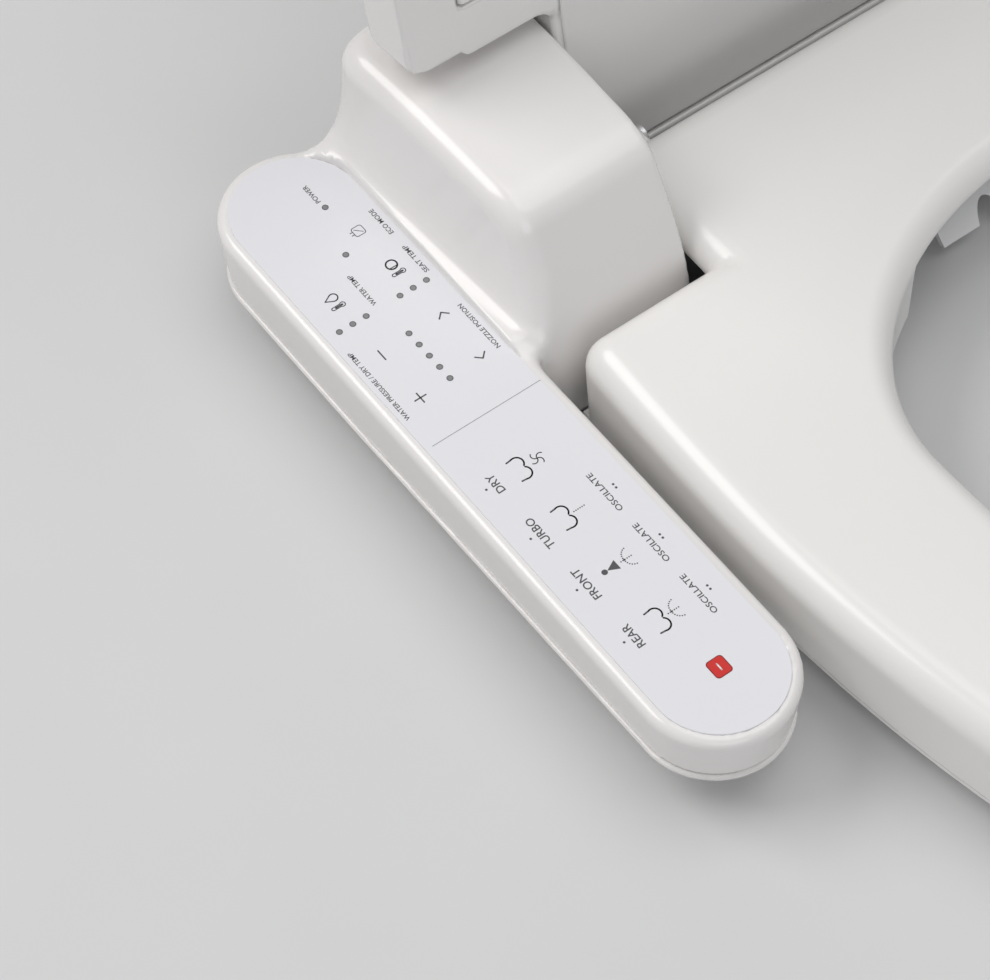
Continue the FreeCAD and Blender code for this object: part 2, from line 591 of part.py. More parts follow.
def raised(name, part):
    """A lid piece, drawn closed, is stored turned up about the hinge line."""
    part.Placement.Rotation = FreeCAD.Rotation(FreeCAD.Vector(-1, 0, 0), 1)
    part.setExpression("Placement.Rotation.Angle", bound("lid_open"))
    turn = bound("lid_open") + " * 1 deg"
    back, up = bound("hinge_back"), bound("hinge_up")
    part.setExpression("Placement.Base.y", f"{back} - {back} * cos({turn}) - {up} * sin({turn})")
    part.setExpression("Placement.Base.z", f"{up} - {up} * cos({turn}) + {back} * sin({turn})")
    return node(name, part)


def make_lid():
    plate = rounded("lid_plate_rounded", lid_plate("lid_plate", "0", ("lid_low", "lid_top")),
                    "lid_edge_round",
                    lambda e: e.BoundBox.ZMin > SIZES["lid_top"] - 0.01
                    and e.BoundBox.YMin < -SIZES["lid_ear_rear"] - 1)
    solid = fuse("lid_solid", plate, lid_neck("lid_neck", "0", "neck_low"))
    shell = cut("lid_hollow", solid,
                lid_plate("lid_plate_inside", "lid_wall", ("lid_low - merge", "lid_top - lid_wall")),
                lid_neck("lid_neck_inside", "lid_wall", "neck_low - merge"))
    arms = []
    for word, side in SIDES.items():
        span = mirrored(side, "lid_lug_in", "lid_lug_out")
        disc = rod(f"lid_lug_{word}", "x", ("hinge_back", "hinge_up"), span, "lid_lug_radius")
        web = box(f"lid_web_{word}", span, ("hinge_back + lid_web_back", "hinge_back + lid_lug_radius"),
                  ("hinge_up", "neck_low + lid_wall"))
        arms.append(cut(f"lid_arm_{word}", fuse(f"lid_arm_blank_{word}", disc, web),
                        rod(f"lid_arm_hole_{word}", "x", ("hinge_back", "hinge_up"),
                            mirrored(side, "lid_lug_in - merge", "lid_lug_out + merge"),
                            "pin_radius + pin_play")))
    raised("lid_shell", fuse("lid_shell", shell, *arms))

    lift = "lid_low + liner_lift"
    flat = lid_plate("liner_plate", "lid_wall + gap", (lift, f"{lift} + liner_thick"))
    neck = box("liner_neck", ("-lid_lug_in + gap", "lid_lug_in - gap"),
               ("-liner_tongue", "neck_rear - lid_wall - gap"),
               ("neck_low + gap", "neck_low + gap + liner_thick"))
    raised("lid_liner", fuse("lid_liner", flat, neck))
    pads = [rod("lid_bumper", "z", (f"{side} * {across}", back), ("seat_top + gap", lift),
                "lid_bumper_radius")
            for side in (1, -1) for across, back in BUMPERS]
    raised("lid_bumpers", fuse("lid_bumpers", *pads))


def sloped(name, x, start, length, radius):
    """A rod on the nozzle slope, from a distance behind the nozzle's tip, running up to the rear."""
    part = doc.addObject("Part::Cylinder", name)
    part.setExpression("Radius", bound(radius))
    part.setExpression("Height", bound(length))
    part.Placement.Rotation = FreeCAD.Rotation(FreeCAD.Vector(-1, 0, 0), 1)
    part.setExpression("Placement.Rotation.Angle", bound("90 - nozzle_slope"))
    part.setExpression("Placement.Base.x", bound(x))
    part.setExpression("Placement.Base.y", bound(f"-nozzle_tip + ({start}) * cos(nozzle_slope * 1 deg)"))
    part.setExpression("Placement.Base.z", bound(f"nozzle_tip_up + ({start}) * sin(nozzle_slope * 1 deg)"))
    return part


def make_bay():
    """Nozzles, guide, guard, motors, valve and dryer in the bay under the seat's rear."""
    shell = cut("bay_hollow",
                box("bay_blank", ("-bay_half", "bay_half"), ("-bay_front", "-bay_rear"),
                    ("above_floor", "bay_top")),
                box("bay_room", ("-bay_half + wall", "bay_half - wall"),
                    ("-bay_front + wall", "-bay_rear - wall"),
                    ("0", "bay_top - wall")))
    window = box("duct_window", ("duct_in + merge", "duct_out - merge"),
                 ("-bay_front - merge", "-bay_front + wall + merge"),
                 ("duct_low", "duct_top"))
    slit = box("nozzle_window", ("-slit_half", "slit_half"),
               ("-bay_front - merge", "-bay_front + wall + merge"), ("0", "slit_top"))
    node("bay_cover", cut("bay_cover", shell, window, slit))

    for name, side in (("rear_wash_nozzle", -1), ("front_wash_nozzle", 1)):
        x = f"{side} * nozzle_apart / 2"
        wand = sloped(name + "_wand", x, "0", "nozzle_length", "nozzle_radius")
        spray = rod(name + "_spray", "z", (x, "-spray_back"), ("spray_low", "through"), "spray_radius")
        node(name, cut(name, wand, spray))
    guide = box("guide_blank", ("-guide_half", "guide_half"), ("-guide_front + wall", "-guide_rear"),
                ("above_floor", "guide_top"))
    ways = [sloped("guide_way", f"{side} * nozzle_apart / 2", "-through", "nozzle_length + 2 * through",
                   "nozzle_radius + nozzle_play") for side in (1, -1)]
    node("nozzle_guide", cut("nozzle_guide", guide, *ways))

    guard = prism("guard_plate", "YZ_Plane",
                  [("-guard_rear", "guard_top"), ("-guard_front", "guard_low"),
                   ("-guard_front + guard_thick", "guard_low - merge"),
                   ("-guard_rear", "guard_top - guard_lean")],
                  ("-guard_half", "guard_half"))
    gates = [sloped("guard_way", f"{side} * nozzle_apart / 2", "-through", "2 * through",
                    "nozzle_radius + guard_play")
             for side in (1, -1)]
    node("nozzle_guard", cut("nozzle_guard", guard, *gates))

    for name, back in (("rear_nozzle_motor", "-motor_front"), ("front_nozzle_motor", "-motor_rear")):
        can = rod(name + "_can", "x", (back, "motor_up"), ("-motor_out", "-motor_in"), "motor_radius")
        shaft = rod(name + "_shaft", "x", (back, "motor_up"), ("-motor_in", "-shaft_end"), "shaft_radius")
        node(name, fuse(name, can, shaft))
    block = box("valve_block", ("-valve_out", "-valve_in"), ("-valve_front", "-valve_rear"),
                ("above_floor", "valve_top"))
    drive = rod("valve_drive", "z", ("-(valve_out + valve_in) / 2", "-drive_back"),
                ("valve_top", "drive_top"),
                "drive_radius")
    node("diverter_valve", fuse("diverter_valve", block, drive))


def make_dryer():
    middle = ("blower_across", "-blower_back")
    room = ("case_low + case_wall", "case_top - case_wall")
    case = cut("casing_shell",
               fuse("casing_solid", rod("casing_round", "z", middle, ("case_low", "case_top"),
                                        "blower_radius"),
                    box("casing_spout", ("duct_in", "duct_out"), ("-spout_front", "-spout_rear"),
                        ("case_low", "case_top"))),
               rod("casing_room", "z", middle, room, "blower_radius - case_wall"),
               box("casing_throat", ("duct_in + case_wall", "duct_out - case_wall"),
                   ("-spout_front - merge", "-spout_rear"), room),
               rod("casing_eye", "z", middle, ("fan_low", "through"), "eye_radius"))
    node("blower_casing", case)
    hub = rod("impeller_hub", "z", middle, ("fan_low", "fan_top"), "hub_radius")
    plate = rod("impeller_plate", "z", middle, ("fan_low", "fan_plate"), "fan_radius")
    blades = []
    for turn in range(0, 360, 30):
        blade = box(f"blade_{turn}", ("blade_in", "fan_radius"), ("-blade_half", "blade_half"),
                    ("fan_low + merge", "fan_top"))
        blade.Placement.Rotation = FreeCAD.Rotation(FreeCAD.Vector(0, 0, 1), turn)
        blade.setExpression("Placement.Base.x", bound(f"{middle[0]} + blade_in * cos({turn} deg)"))
        blade.setExpression("Placement.Base.y", bound(f"{middle[1]} + blade_in * sin({turn} deg)"))
        blades.append(blade)
    node("dryer_impeller", fuse("dryer_impeller", hub, plate, *blades))
    lined = ("duct_in + duct_wall", "duct_out - duct_wall")
    duct = cut("dryer_duct",
               box("duct_blank", ("duct_in", "duct_out"), ("-bay_front + wall + gap", "-spout_front - gap"),
                   ("duct_low - duct_wall", "duct_top + duct_wall")),
               box("duct_room", lined, ("-bay_front", "-spout_rear"), ("duct_low", "duct_top")))
    node("dryer_duct", duct)
    bars = [box("heater_bar", lined, ("-bar_front", "-bar_rear"),
                (f"duct_low + bar_pitch * ({n} + 0.5)", f"duct_low + bar_pitch * ({n} + 0.5) + bar_thick"))
            for n in range(4)]
    node("dryer_heater", fuse("dryer_heater", *bars))
    leaf = box("flap_plate", ("duct_in", "duct_out"), ("flap_rear - flap_thick", "flap_rear"),
               ("duct_low - flap_drop", "duct_top + flap_gap"))
    bead = rod("flap_bead", "x", ("flap_rear - flap_thick", "duct_top + bead_up"),
               ("duct_in", "duct_out"), "bead_radius")
    node("dryer_flap", fuse("dryer_flap", leaf, bead))


def make_insides():
    supply = ("-block_in - supply_out", "-block_in - supply_in")
    node("power_supply", box("power_supply", supply, ("-supply_front", "supply_rear"),
                             ("above_floor", "supply_top")))
    board = fuse("main_board", box("board_plate", supply, ("main_front", "main_rear"),
                                   ("main_low", "main_top")),
                 box("relay", ("-block_in - relay_out", "-block_in - relay_in"),
                     ("relay_front", "relay_rear"),
                     ("main_top", "relay_top")),
                 rod("smoothing_can", "z", ("-block_in - can_across", "can_rear"), ("main_top", "can_top"),
                     "can_radius"),
                 box("processor", ("-block_in - relay_out", "-block_in - chip_in"),
                     ("chip_front", "chip_rear"),
                     ("main_top", "chip_top")))
    node("main_board", board)
    place = ("-block_out + gland_in", "gland_up")
    gland = cut("cord_gland",
                fuse("gland_solid",
                     rod("gland_body", "y", place, ("housing_rear - gland_half",
                                                    "housing_rear + gland_half"),
                         "gland_radius"),
                     rod("gland_flange", "y", place, ("housing_rear", "housing_rear + flange_thick"),
                         "flange_radius")),
                rod("gland_hole", "y", place, ("housing_rear - gland_half * 2",
                                               "housing_rear + gland_half * 2"),
                    "gland_bore"))
    node("cord_gland", gland)

    line = ("inlet_rear", "inlet_up")
    inlet = cut("water_inlet",
                fuse("inlet_solid",
                     rod("inlet_collar", "x", line, ("block_out - collar_in", "block_out + collar_out"),
                         "collar_radius"),
                     rod("inlet_spigot", "x", line,
                         ("block_out + collar_out", "block_out + collar_out + inlet_length"),
                         "inlet_radius")),
                rod("inlet_hole", "x", line,
                    ("block_out - collar_in - merge", "block_out + collar_out + inlet_length + merge"),
                    "inlet_bore"))
    node("water_inlet", inlet)
    tank = cut("water_tank",
               box("tank_blank", ("block_in + tank_in", "block_in + tank_out"), ("tank_front", "tank_rear"),
                   ("above_floor", "tank_top")),
               box("tank_room", ("block_in + tank_in + tank_wall", "block_in + tank_out - tank_wall"),
                   ("tank_front + tank_wall", "tank_rear - tank_wall"),
                   ("above_floor + tank_wall", "tank_top - tank_wall")))
    node("water_tank", tank)
    legs = [rod("heater_leg", "z", (across, "leg_back"), ("leg_low", "leg_top"), "leg_radius")
            for across in ("block_in + leg_in", "block_in + leg_out")]
    bend = box("heater_bend", ("block_in + leg_in", "block_in + leg_out"),
               ("leg_back - bend_half", "leg_back + bend_half"),
               ("bend_low", "bend_top"))
    node("tank_heater", fuse("tank_heater", *legs, bend))
    body = box("solenoid_body", ("block_in + solenoid_in", "block_in + solenoid_out"),
               ("-solenoid_front", "-solenoid_rear"),
               ("above_floor", "solenoid_top"))
    coil = rod("solenoid_coil", "z", ("block_in + coil_across", "-coil_back"), ("solenoid_top", "coil_top"),
               "coil_radius")
    node("solenoid_valve", fuse("solenoid_valve", body, coil))
    y = ("-button_back - button_long / 2", "-button_back + button_long / 2")
    z = ("button_up - button_tall / 2", "button_up + button_tall / 2")
    head = box("button_head", ("block_out - button_in", "block_out + button_proud"), y, z)
    flange = box("button_rim", ("block_out - button_in", "block_out - wall - gap"),
                 (f"{y[0]} - button_flange", f"{y[1]} + button_flange"),
                 (f"{z[0]} - button_flange", f"{z[1]} + button_flange"))
    node("release_button", fuse("release_button", head, flange))


make_base()
make_cover()
make_panel()
make_hinge()
make_seat()
make_lid()
make_bay()
make_dryer()
make_insides()
doc.recompute()

for item in doc.Objects:
    if "Invalid" in item.State or "Error" in item.State:
        raise RuntimeError(f"{item.Label} did not build")
for name, part in nodes.items():
    if part.Shape.isNull() or not part.Shape.isValid() or not part.Shape.Solids:
        raise RuntimeError(f"{name} has no valid solid")
for name, part in nodes.items():
    part.Shape.exportStep(f"parts/{name}.step")
print(len(nodes), "nodes")
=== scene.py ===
import json
import math
import bpy
import numpy as np
from mathutils import Matrix, Vector


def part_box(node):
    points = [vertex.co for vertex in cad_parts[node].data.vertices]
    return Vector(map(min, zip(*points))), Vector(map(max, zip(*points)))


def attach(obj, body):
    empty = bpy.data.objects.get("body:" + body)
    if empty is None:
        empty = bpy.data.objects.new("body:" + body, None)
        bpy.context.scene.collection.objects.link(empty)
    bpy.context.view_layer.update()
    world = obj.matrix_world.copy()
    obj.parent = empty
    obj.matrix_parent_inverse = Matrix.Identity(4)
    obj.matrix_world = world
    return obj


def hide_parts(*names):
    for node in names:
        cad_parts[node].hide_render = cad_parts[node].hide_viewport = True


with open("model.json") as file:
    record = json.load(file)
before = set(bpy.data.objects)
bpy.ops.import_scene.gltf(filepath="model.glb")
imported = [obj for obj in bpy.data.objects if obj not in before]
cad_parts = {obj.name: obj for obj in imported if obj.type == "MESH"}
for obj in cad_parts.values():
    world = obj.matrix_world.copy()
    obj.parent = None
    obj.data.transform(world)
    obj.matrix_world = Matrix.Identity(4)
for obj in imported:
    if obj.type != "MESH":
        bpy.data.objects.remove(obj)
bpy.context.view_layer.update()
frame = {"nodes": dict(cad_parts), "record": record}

# Electric bidet seat. Metres in Blender; the moulded shapes are worked out in millimetres.
MM = 0.001
SCENE = bpy.context.scene


def span(node):
    """A CAD node's lowest and highest corners, in millimetres."""
    low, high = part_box(node)
    return np.array(low) / MM, np.array(high) / MM


# ---------------------------------------------------------------- camera, light and floor
CAMERA_PLACE = (-0.57375, -0.58469, 0.92940)
CAMERA_AZIMUTH, CAMERA_ELEVATION, CAMERA_ROLL = -36.11, 56.0, -0.8165
CAMERA_LENS = 127.27


def make_camera():
    turn = (Matrix.Rotation(math.radians(CAMERA_AZIMUTH), 4, "Z")
            @ Matrix.Rotation(math.radians(90 - CAMERA_ELEVATION), 4, "X")
            @ Matrix.Rotation(math.radians(CAMERA_ROLL), 4, "Z"))
    data = bpy.data.cameras.new("camera")
    data.lens = CAMERA_LENS
    data.sensor_width = 36
    camera = bpy.data.objects.new("camera", data)
    camera.matrix_world = Matrix.Translation(CAMERA_PLACE) @ turn
    SCENE.collection.objects.link(camera)
    SCENE.camera = camera


def area_light(name, place, target, size, power, colour):
    data = bpy.data.lights.new(name, "AREA")
    data.shape = "RECTANGLE"
    data.size, data.size_y = size
    data.energy = power
    data.color = colour
    light = bpy.data.objects.new(name, data)
    aim = Vector(target) - Vector(place)
    light.matrix_world = Matrix.Translation(place) @ aim.to_track_quat("-Z", "Y").to_matrix().to_4x4()
    SCENE.collection.objects.link(light)


def make_lights():
    middle = (-0.1, -0.15, 0.05)
    area_light("soft_key", (-1.1, 0.9, 1.7), middle, (1.3, 1.0), 20, (1, 0.985, 0.97))
    area_light("overhead", (0.3, -0.3, 2.2), middle, (1.8, 1.8), 15, (1, 1, 1))
    area_light("front_fill", (-0.9, -1.9, 1.0), middle, (1.4, 1.0), 6, (0.97, 0.98, 1))
    SCENE.view_settings.view_transform = "Standard"
    world = bpy.data.worlds.new("studio")
    world.use_nodes = True
    sky = world.node_tree.nodes["Background"]
    sky.inputs["Color"].default_value = (0.86, 0.87, 0.89, 1)
    sky.inputs["Strength"].default_value = 0.4
    SCENE.world = world


# ---------------------------------------------------------------- materials
def shader(name, **sockets):
    """A Principled material with constants set on its own sockets."""
    material = bpy.data.materials.new(name)
    material.use_nodes = True
    surface = material.node_tree.nodes["Principled BSDF"]
    for socket, value in sockets.items():
        surface.inputs[socket.replace("_", " ")].default_value = value
    return material, surface


def noise(tree, place, scale, detail):
    texture = tree.nodes.new("ShaderNodeTexNoise")
    texture.inputs["Scale"].default_value = scale
    texture.inputs["Detail"].default_value = detail
    tree.links.new(place, texture.inputs["Vector"])
    return texture.outputs["Fac"]


def between(tree, value, low, high):
    """A texture's middle range carried to a range of values."""
    spread = tree.nodes.new("ShaderNodeMapRange")
    for socket, number in (("From Min", 0.3), ("From Max", 0.7), ("To Min", low), ("To Max", high)):
        spread.inputs[socket].default_value = number
    tree.links.new(value, spread.inputs["Value"])
    return spread.outputs["Result"]


def tinted(tree, value, dark, light):
    ramp = tree.nodes.new("ShaderNodeValToRGB")
    ramp.color_ramp.elements[0].position = 0.3
    ramp.color_ramp.elements[1].position = 0.7
    ramp.color_ramp.elements[0].color = (*dark, 1)
    ramp.color_ramp.elements[1].color = (*light, 1)
    tree.links.new(value, ramp.inputs["Fac"])
    return ramp.outputs["Color"]


def plastic(name, colour, rough, tone=0.02, grain=2600, depth=0.00002, stretch=(1, 1, 1), **sockets):
    """Moulded plastic or metal: slow tone drift, fine roughness change and a shallow surface grain."""
    material, surface = shader(name, **sockets)
    tree = material.node_tree
    coordinates = tree.nodes.new("ShaderNodeTexCoord")
    mapping = tree.nodes.new("ShaderNodeMapping")
    mapping.inputs["Scale"].default_value = stretch
    tree.links.new(coordinates.outputs["Object"], mapping.inputs["Vector"])
    place = mapping.outputs["Vector"]
    dark = [channel * (1 - tone) for channel in colour]
    light = [min(1, channel * (1 + tone)) for channel in colour]
    drift = noise(tree, place, 14, 3)
    tree.links.new(tinted(tree, drift, dark, light), surface.inputs["Base Color"])
    fine = noise(tree, place, grain / 30, 4)
    tree.links.new(between(tree, fine, rough * 0.97, rough * 1.03), surface.inputs["Roughness"])
    bump = tree.nodes.new("ShaderNodeBump")
    bump.inputs["Distance"].default_value = depth
    tree.links.new(noise(tree, place, grain, 2), bump.inputs["Height"])
    tree.links.new(bump.outputs["Normal"], surface.inputs["Normal"])
    return material


def circuit_board():
    """Green solder mask with paler tracks."""
    material = plastic("circuit_board", (0.02, 0.16, 0.07), 0.35)
    tree = material.node_tree
    surface = tree.nodes["Principled BSDF"]
    coordinates = tree.nodes.new("ShaderNodeTexCoord")
    cells = tree.nodes.new("ShaderNodeTexVoronoi")
    cells.distance = "CHEBYCHEV"
    cells.feature = "F1"
    cells.inputs["Scale"].default_value = 260
    tree.links.new(coordinates.outputs["Object"], cells.inputs["Vector"])
    tracks = tinted(tree, cells.outputs["Distance"], (0.02, 0.12, 0.05), (0.05, 0.3, 0.12))
    tree.links.new(tracks, surface.inputs["Base Color"])
    return material


WARM_WHITE = (0.83, 0.81, 0.795)
COOL_WHITE = (0.78, 0.78, 0.81)
SLOTS = {
    "housing_white": plastic("housing_white", WARM_WHITE, 0.2, 0.006, 1800, 0.000006, Coat_Weight=0.15),
    "seat_white": plastic("seat_white", (0.84, 0.825, 0.805), 0.24, 0.006, 1800, 0.000006, Coat_Weight=0.1),
    "lid_white": plastic("lid_white", (0.83, 0.815, 0.8), 0.22, 0.006, 1800, 0.000006, Coat_Weight=0.1),
    "panel_film": plastic("panel_film", COOL_WHITE, 0.4, 0.005, 3800, 0.000008),
    "key_film": plastic("key_film", COOL_WHITE, 0.4, 0.005, 3800, 0.000008),
    "inner_white": plastic("inner_white", (0.82, 0.82, 0.82), 0.25, 0.01),
    "nozzle_white": plastic("nozzle_white", (0.86, 0.86, 0.86), 0.2, 0.01),
    "inner_grey": plastic("inner_grey", (0.2, 0.205, 0.21), 0.5, 0.08, 1500, 0.00005),
    "circuit_board": circuit_board(),
    "lamp": plastic("lamp", (0.8, 0.82, 0.7), 0.2),
    "rubber": plastic("rubber", (0.5, 0.5, 0.49), 0.7, 0.06, 1200, 0.00006),
    "steel": plastic("steel", (0.6, 0.6, 0.61), 0.3, 0.06, 1400, 0.00003, (1, 12, 12), Metallic=1),
    "tank_plastic": plastic("tank_plastic", (0.62, 0.62, 0.58), 0.45, 0.05),
    "brass": plastic("brass", (0.66, 0.47, 0.2), 0.28, 0.08, 1600, 0.00003, (1, 9, 9), Metallic=1),
}
PRINT_GREY = plastic("print_grey", (0.085, 0.085, 0.09), 0.45, 0.06)
LAMP_GREY = plastic("lamp_window", (0.24, 0.24, 0.245), 0.25, 0.05)
LINE_GREY = plastic("line_grey", (0.3, 0.3, 0.31), 0.45, 0.04)
STOP_RED = plastic("stop_red", (0.62, 0.02, 0.015), 0.35, 0.06)
STOP_EDGE = plastic("stop_edge", (0.2, 0.01, 0.01), 0.4, 0.06)
BAR_WHITE = plastic("bar_white", (0.8, 0.8, 0.8), 0.4)


def finish_nodes():
    for part in frame["record"]["subparts"]:
        data = frame["nodes"][part["node"]].data
        data.materials.clear()
        data.materials.append(SLOTS[part["material_slot"]])


def make_floor():
    bpy.ops.mesh.primitive_plane_add(size=8)
    floor = bpy.context.object
    floor.name = "floor"
    floor.data.materials.append(plastic("floor_pale", (0.66, 0.66, 0.66), 0.6, 0.01, 400, 0.00001))


# ---------------------------------------------------------------- moulded shapes as distance fields
def corner(a, b, radius):
    """Where both distances are inside, with a rounded outer edge between them."""
    u, v = a + radius, b + radius
    return np.minimum(np.maximum(u, v), 0) + np.hypot(np.maximum(u, 0), np.maximum(v, 0)) - radius


def joined(a, b, soft):
    """Where either distance is inside, with a hollow fillet between them."""
    near = np.maximum(soft - np.abs(a - b), 0) / soft
    return np.minimum(a, b) - near * near * soft / 4


def carved(a, tool, soft):
    """The first less the second, with a softened edge."""
    return -joined(-a, tool, soft)


def slab(x, low, high):
    return np.maximum(low - x, x - high)


def oval(x, y, half, mid, front, rear):
    """Distance to an egg of two half ellipses that meet on the line y = -mid."""
    reach = np.where(y < -mid, front, rear)
    u, v = x / half, (y + mid) / reach
    ring = np.maximum(np.hypot(u, v), 1e-3)
    return ring * (ring - 1) / np.maximum(np.hypot(u / half, v / reach), 1e-6)


def bar(x, y, middle, half, front, rear):
    """Distance to a round-ended bar along Y."""
    return np.hypot(x - middle, y - np.clip(y, front + half, rear - half)) - half


def surface_net(field, low, high, step):
    """Vertices and quads of a field's zero surface inside a box."""
    axes = [np.arange(a - 1.37 * step, b + 2.5 * step, step) for a, b in zip(low, high)]
    x, y, z = np.meshgrid(*axes, indexing="ij", sparse=True)
    values = (field(x, y, z) + 0 * (x + y + z)).astype(np.float32)
    inside = values < 0
    shape = np.array(values.shape)
    count = sum(inside[i:shape[0] - 1 + i, j:shape[1] - 1 + j, k:shape[2] - 1 + k].astype(np.int8)
                for i in (0, 1) for j in (0, 1) for k in (0, 1))
    cells = np.argwhere((count > 0) & (count < 8))
    number = np.full(shape - 1, -1, np.int32)
    number[tuple(cells.T)] = np.arange(len(cells))
    total = np.zeros((len(cells), 3))
    hits = np.zeros(len(cells))
    for axis in range(3):
        others = [a for a in range(3) if a != axis]
        for first in (0, 1):
            for second in (0, 1):
                start = np.zeros(3, int)
                start[others[0]], start[others[1]] = first, second
                end = start.copy()
                end[axis] = 1
                a = values[tuple((cells + start).T)]
                b = values[tuple((cells + end).T)]
                crossed = (a < 0) != (b < 0)
                share = np.where(crossed, a / np.where(crossed, a - b, 1), 0)
                point = cells + start + share[:, None] * (end - start)
                total += point * crossed[:, None]
                hits += crossed
    origin = np.array([axis[0] for axis in axes])
    points = origin + total / hits[:, None] * step
    quads = []
    for axis in range(3):
        ahead = [slice(None)] * 3
        behind = [slice(None)] * 3
        ahead[axis], behind[axis] = slice(1, None), slice(None, -1)
        first, second = inside[tuple(behind)], inside[tuple(ahead)]
        u, v = (axis + 1) % 3, (axis + 2) % 3
        for flip in (False, True):
            edges = np.argwhere(first & ~second if not flip else second & ~first)
            edges = edges[(edges[:, u] > 0) & (edges[:, v] > 0)]
            ring = []
            for du, dv in ((1, 1), (0, 1), (0, 0), (1, 0)):
                cell = edges.copy()
                cell[:, u] -= du
                cell[:, v] -= dv
                ring.append(number[tuple(cell.T)])
            ring = np.stack(ring, 1)
            quads.append(ring[:, ::-1] if flip else ring)
    return points, np.concatenate(quads)


def slope(field, points, reach=0.25):
    grads = []
    for axis in range(3):
        nudge = np.zeros(3)
        nudge[axis] = reach
        ahead, behind = points + nudge, points - nudge
        grads.append((field(*ahead.T) - field(*behind.T)) / (2 * reach))
    return np.stack(grads, 1)


def settled(field, points, step):
    """Vertices drawn onto the surface."""
    for _ in range(3):
        grad = slope(field, points)
        size = np.maximum((grad ** 2).sum(1), 0.05)
        move = -(field(*points.T) / size)[:, None] * grad
        length = np.maximum(np.linalg.norm(move, axis=1), 1e-9)
        points = points + move * np.minimum(1, 0.5 * step / length)[:, None]
    return points


NORMAL_REACH, FOLDED = 0.6, 0.85


def moulded(name, field, low, high, step, turn=None):
    """A smooth moulding: the field's surface in metres, with the mesh's own normals where the field folds."""
    points, quads = surface_net(field, low, high, step)
    points = settled(field, points, step)
    data = bpy.data.meshes.new(name)
    data.from_pydata(points.tolist(), [], quads.tolist())
    data.update()
    facing = np.empty(len(points) * 3)
    data.vertex_normals.foreach_get("vector", facing)
    facing = facing.reshape(-1, 3)
    normals = slope(field, points, NORMAL_REACH)
    normals /= np.maximum(np.linalg.norm(normals, axis=1), 1e-9)[:, None]
    folded = (normals * facing).sum(1) < FOLDED
    normals[folded] = facing[folded]
    if turn is not None:
        rotation, centre = turn
        points = (points - centre) @ rotation.T + centre
        normals = normals @ rotation.T
    data.vertices.foreach_set("co", (points * MM).ravel())
    data.shade_smooth()
    data.normals_split_custom_set_from_vertices(normals.tolist())
    data.update()
    piece = bpy.data.objects.new(name, data)
    SCENE.collection.objects.link(piece)
    return piece


def dressed(piece, slot, body, *nodes):
    piece.data.materials.append(SLOTS[slot])
    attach(piece, body)
    if nodes:
        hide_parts(*nodes)


PIN_LOW, PIN_HIGH = span("hinge_pin_left")
HINGE_Y, HINGE_Z = (PIN_LOW[1] + PIN_HIGH[1]) / 2, (PIN_LOW[2] + PIN_HIGH[2]) / 2
PIN_WAY = (PIN_HIGH[2] - PIN_LOW[2]) / 2 + 0.06
BLOCK_IN = 118.5
# the shells' wall, and a clearance cut a little past a face
SHELL_WALL = 3.5
PAST = 1


def from_hinge(y, z):
    return np.hypot(y - HINGE_Y, z - HINGE_Z)


# ---- upper cover: two shoulders, side arm, trough
COVER_LOW, COVER_HIGH = span("upper_cover")
FILM_LOW, FILM_HIGH = span("panel_film")
ARM_X = (FILM_LOW[0] + FILM_HIGH[0]) / 2
ARM_HALF = ARM_X - COVER_LOW[0]
FILM_HALF = (FILM_HIGH[0] - FILM_LOW[0]) / 2
ARM_TOP = FILM_HIGH[2]
ARM_FRONT, ARM_REAR = COVER_LOW[1], COVER_HIGH[1]
LIP_LOW, LIP_TALL, LIP_OUT = span("arm_bottom_cover")[0][2], 2.4, 1.1
ARM_DRAFT, ARM_RISE = 0.1, 7
ARM_EDGE, ARM_WALL, ARM_SKIN = 3.8, 3.6, 3
RISE_START, RISE_LONG = -40, 170
# where the arm joins the shoulder, along Y and in from the arm's inner side
BRIDGE_FRONT, BRIDGE_REAR, BRIDGE_IN = -58, 40, 4
LIP_GAP_MIDDLE, LIP_GAP_HALF, LIP_GAP_IN = -10, 54, 3.8
TROUGH_TOP, TROUGH_RADIUS, FLOOR_TOP, SILL_TOP, SILL_THICK = 62, 59.5, 7.6, 9, 2.5
UNDER_HALF, UNDER_FRONT, UNDER_REAR, UNDER_TOP = 169.5, -69.5, 47.6, 7.5
BLOCK_OUT = COVER_HIGH[0]
BLOCK_FRONT, BLOCK_REAR, BLOCK_LOW = -72, 50, COVER_LOW[2]
# the shoulder's side profile as straight faces: a point (y, z) on each and its outward direction
SHOULDER_FACES = (
    ((-70.6, 40), (-0.856, 0.516), 14),
    ((-22, 87), (-0.16, 0.987), 8),
    ((10, 87), (0.07, 0.9975), 16),
)
# the outer side leans out to the rear and flares into the arm
SIDE_LEAN, FLARE_WIDE, FLARE_TALL = 0.05, 9, 10
KEYS = [name for name in frame["nodes"] if name.endswith("_key")]
KEY_PLAY, FILM_PLAY = 0.3, 0.12
KEY_WAY = (30, 60)


def shoulder(x, y, z):
    wide = np.abs(x)
    profile = corner(BLOCK_FRONT - y, z - 120, 1)
    for (py, pz), (ny, nz), soft in SHOULDER_FACES:
        profile = carved(profile, -((y - py) * ny + (z - pz) * nz), soft)
    profile = corner(profile, y - BLOCK_REAR, 9)
    foot = FLARE_WIDE * np.exp(-np.maximum(z - ARM_TOP, 0) / FLARE_TALL)
    lean = np.where(x < 0, SIDE_LEAN * (y - BLOCK_FRONT) + foot, 0)
    plan = corner(wide - BLOCK_OUT - lean, y - BLOCK_REAR, 18)
    body = corner(profile, plan, 8)
    body = corner(body, BLOCK_IN - wide, 1.6)
    return np.maximum(body, BLOCK_LOW - z)


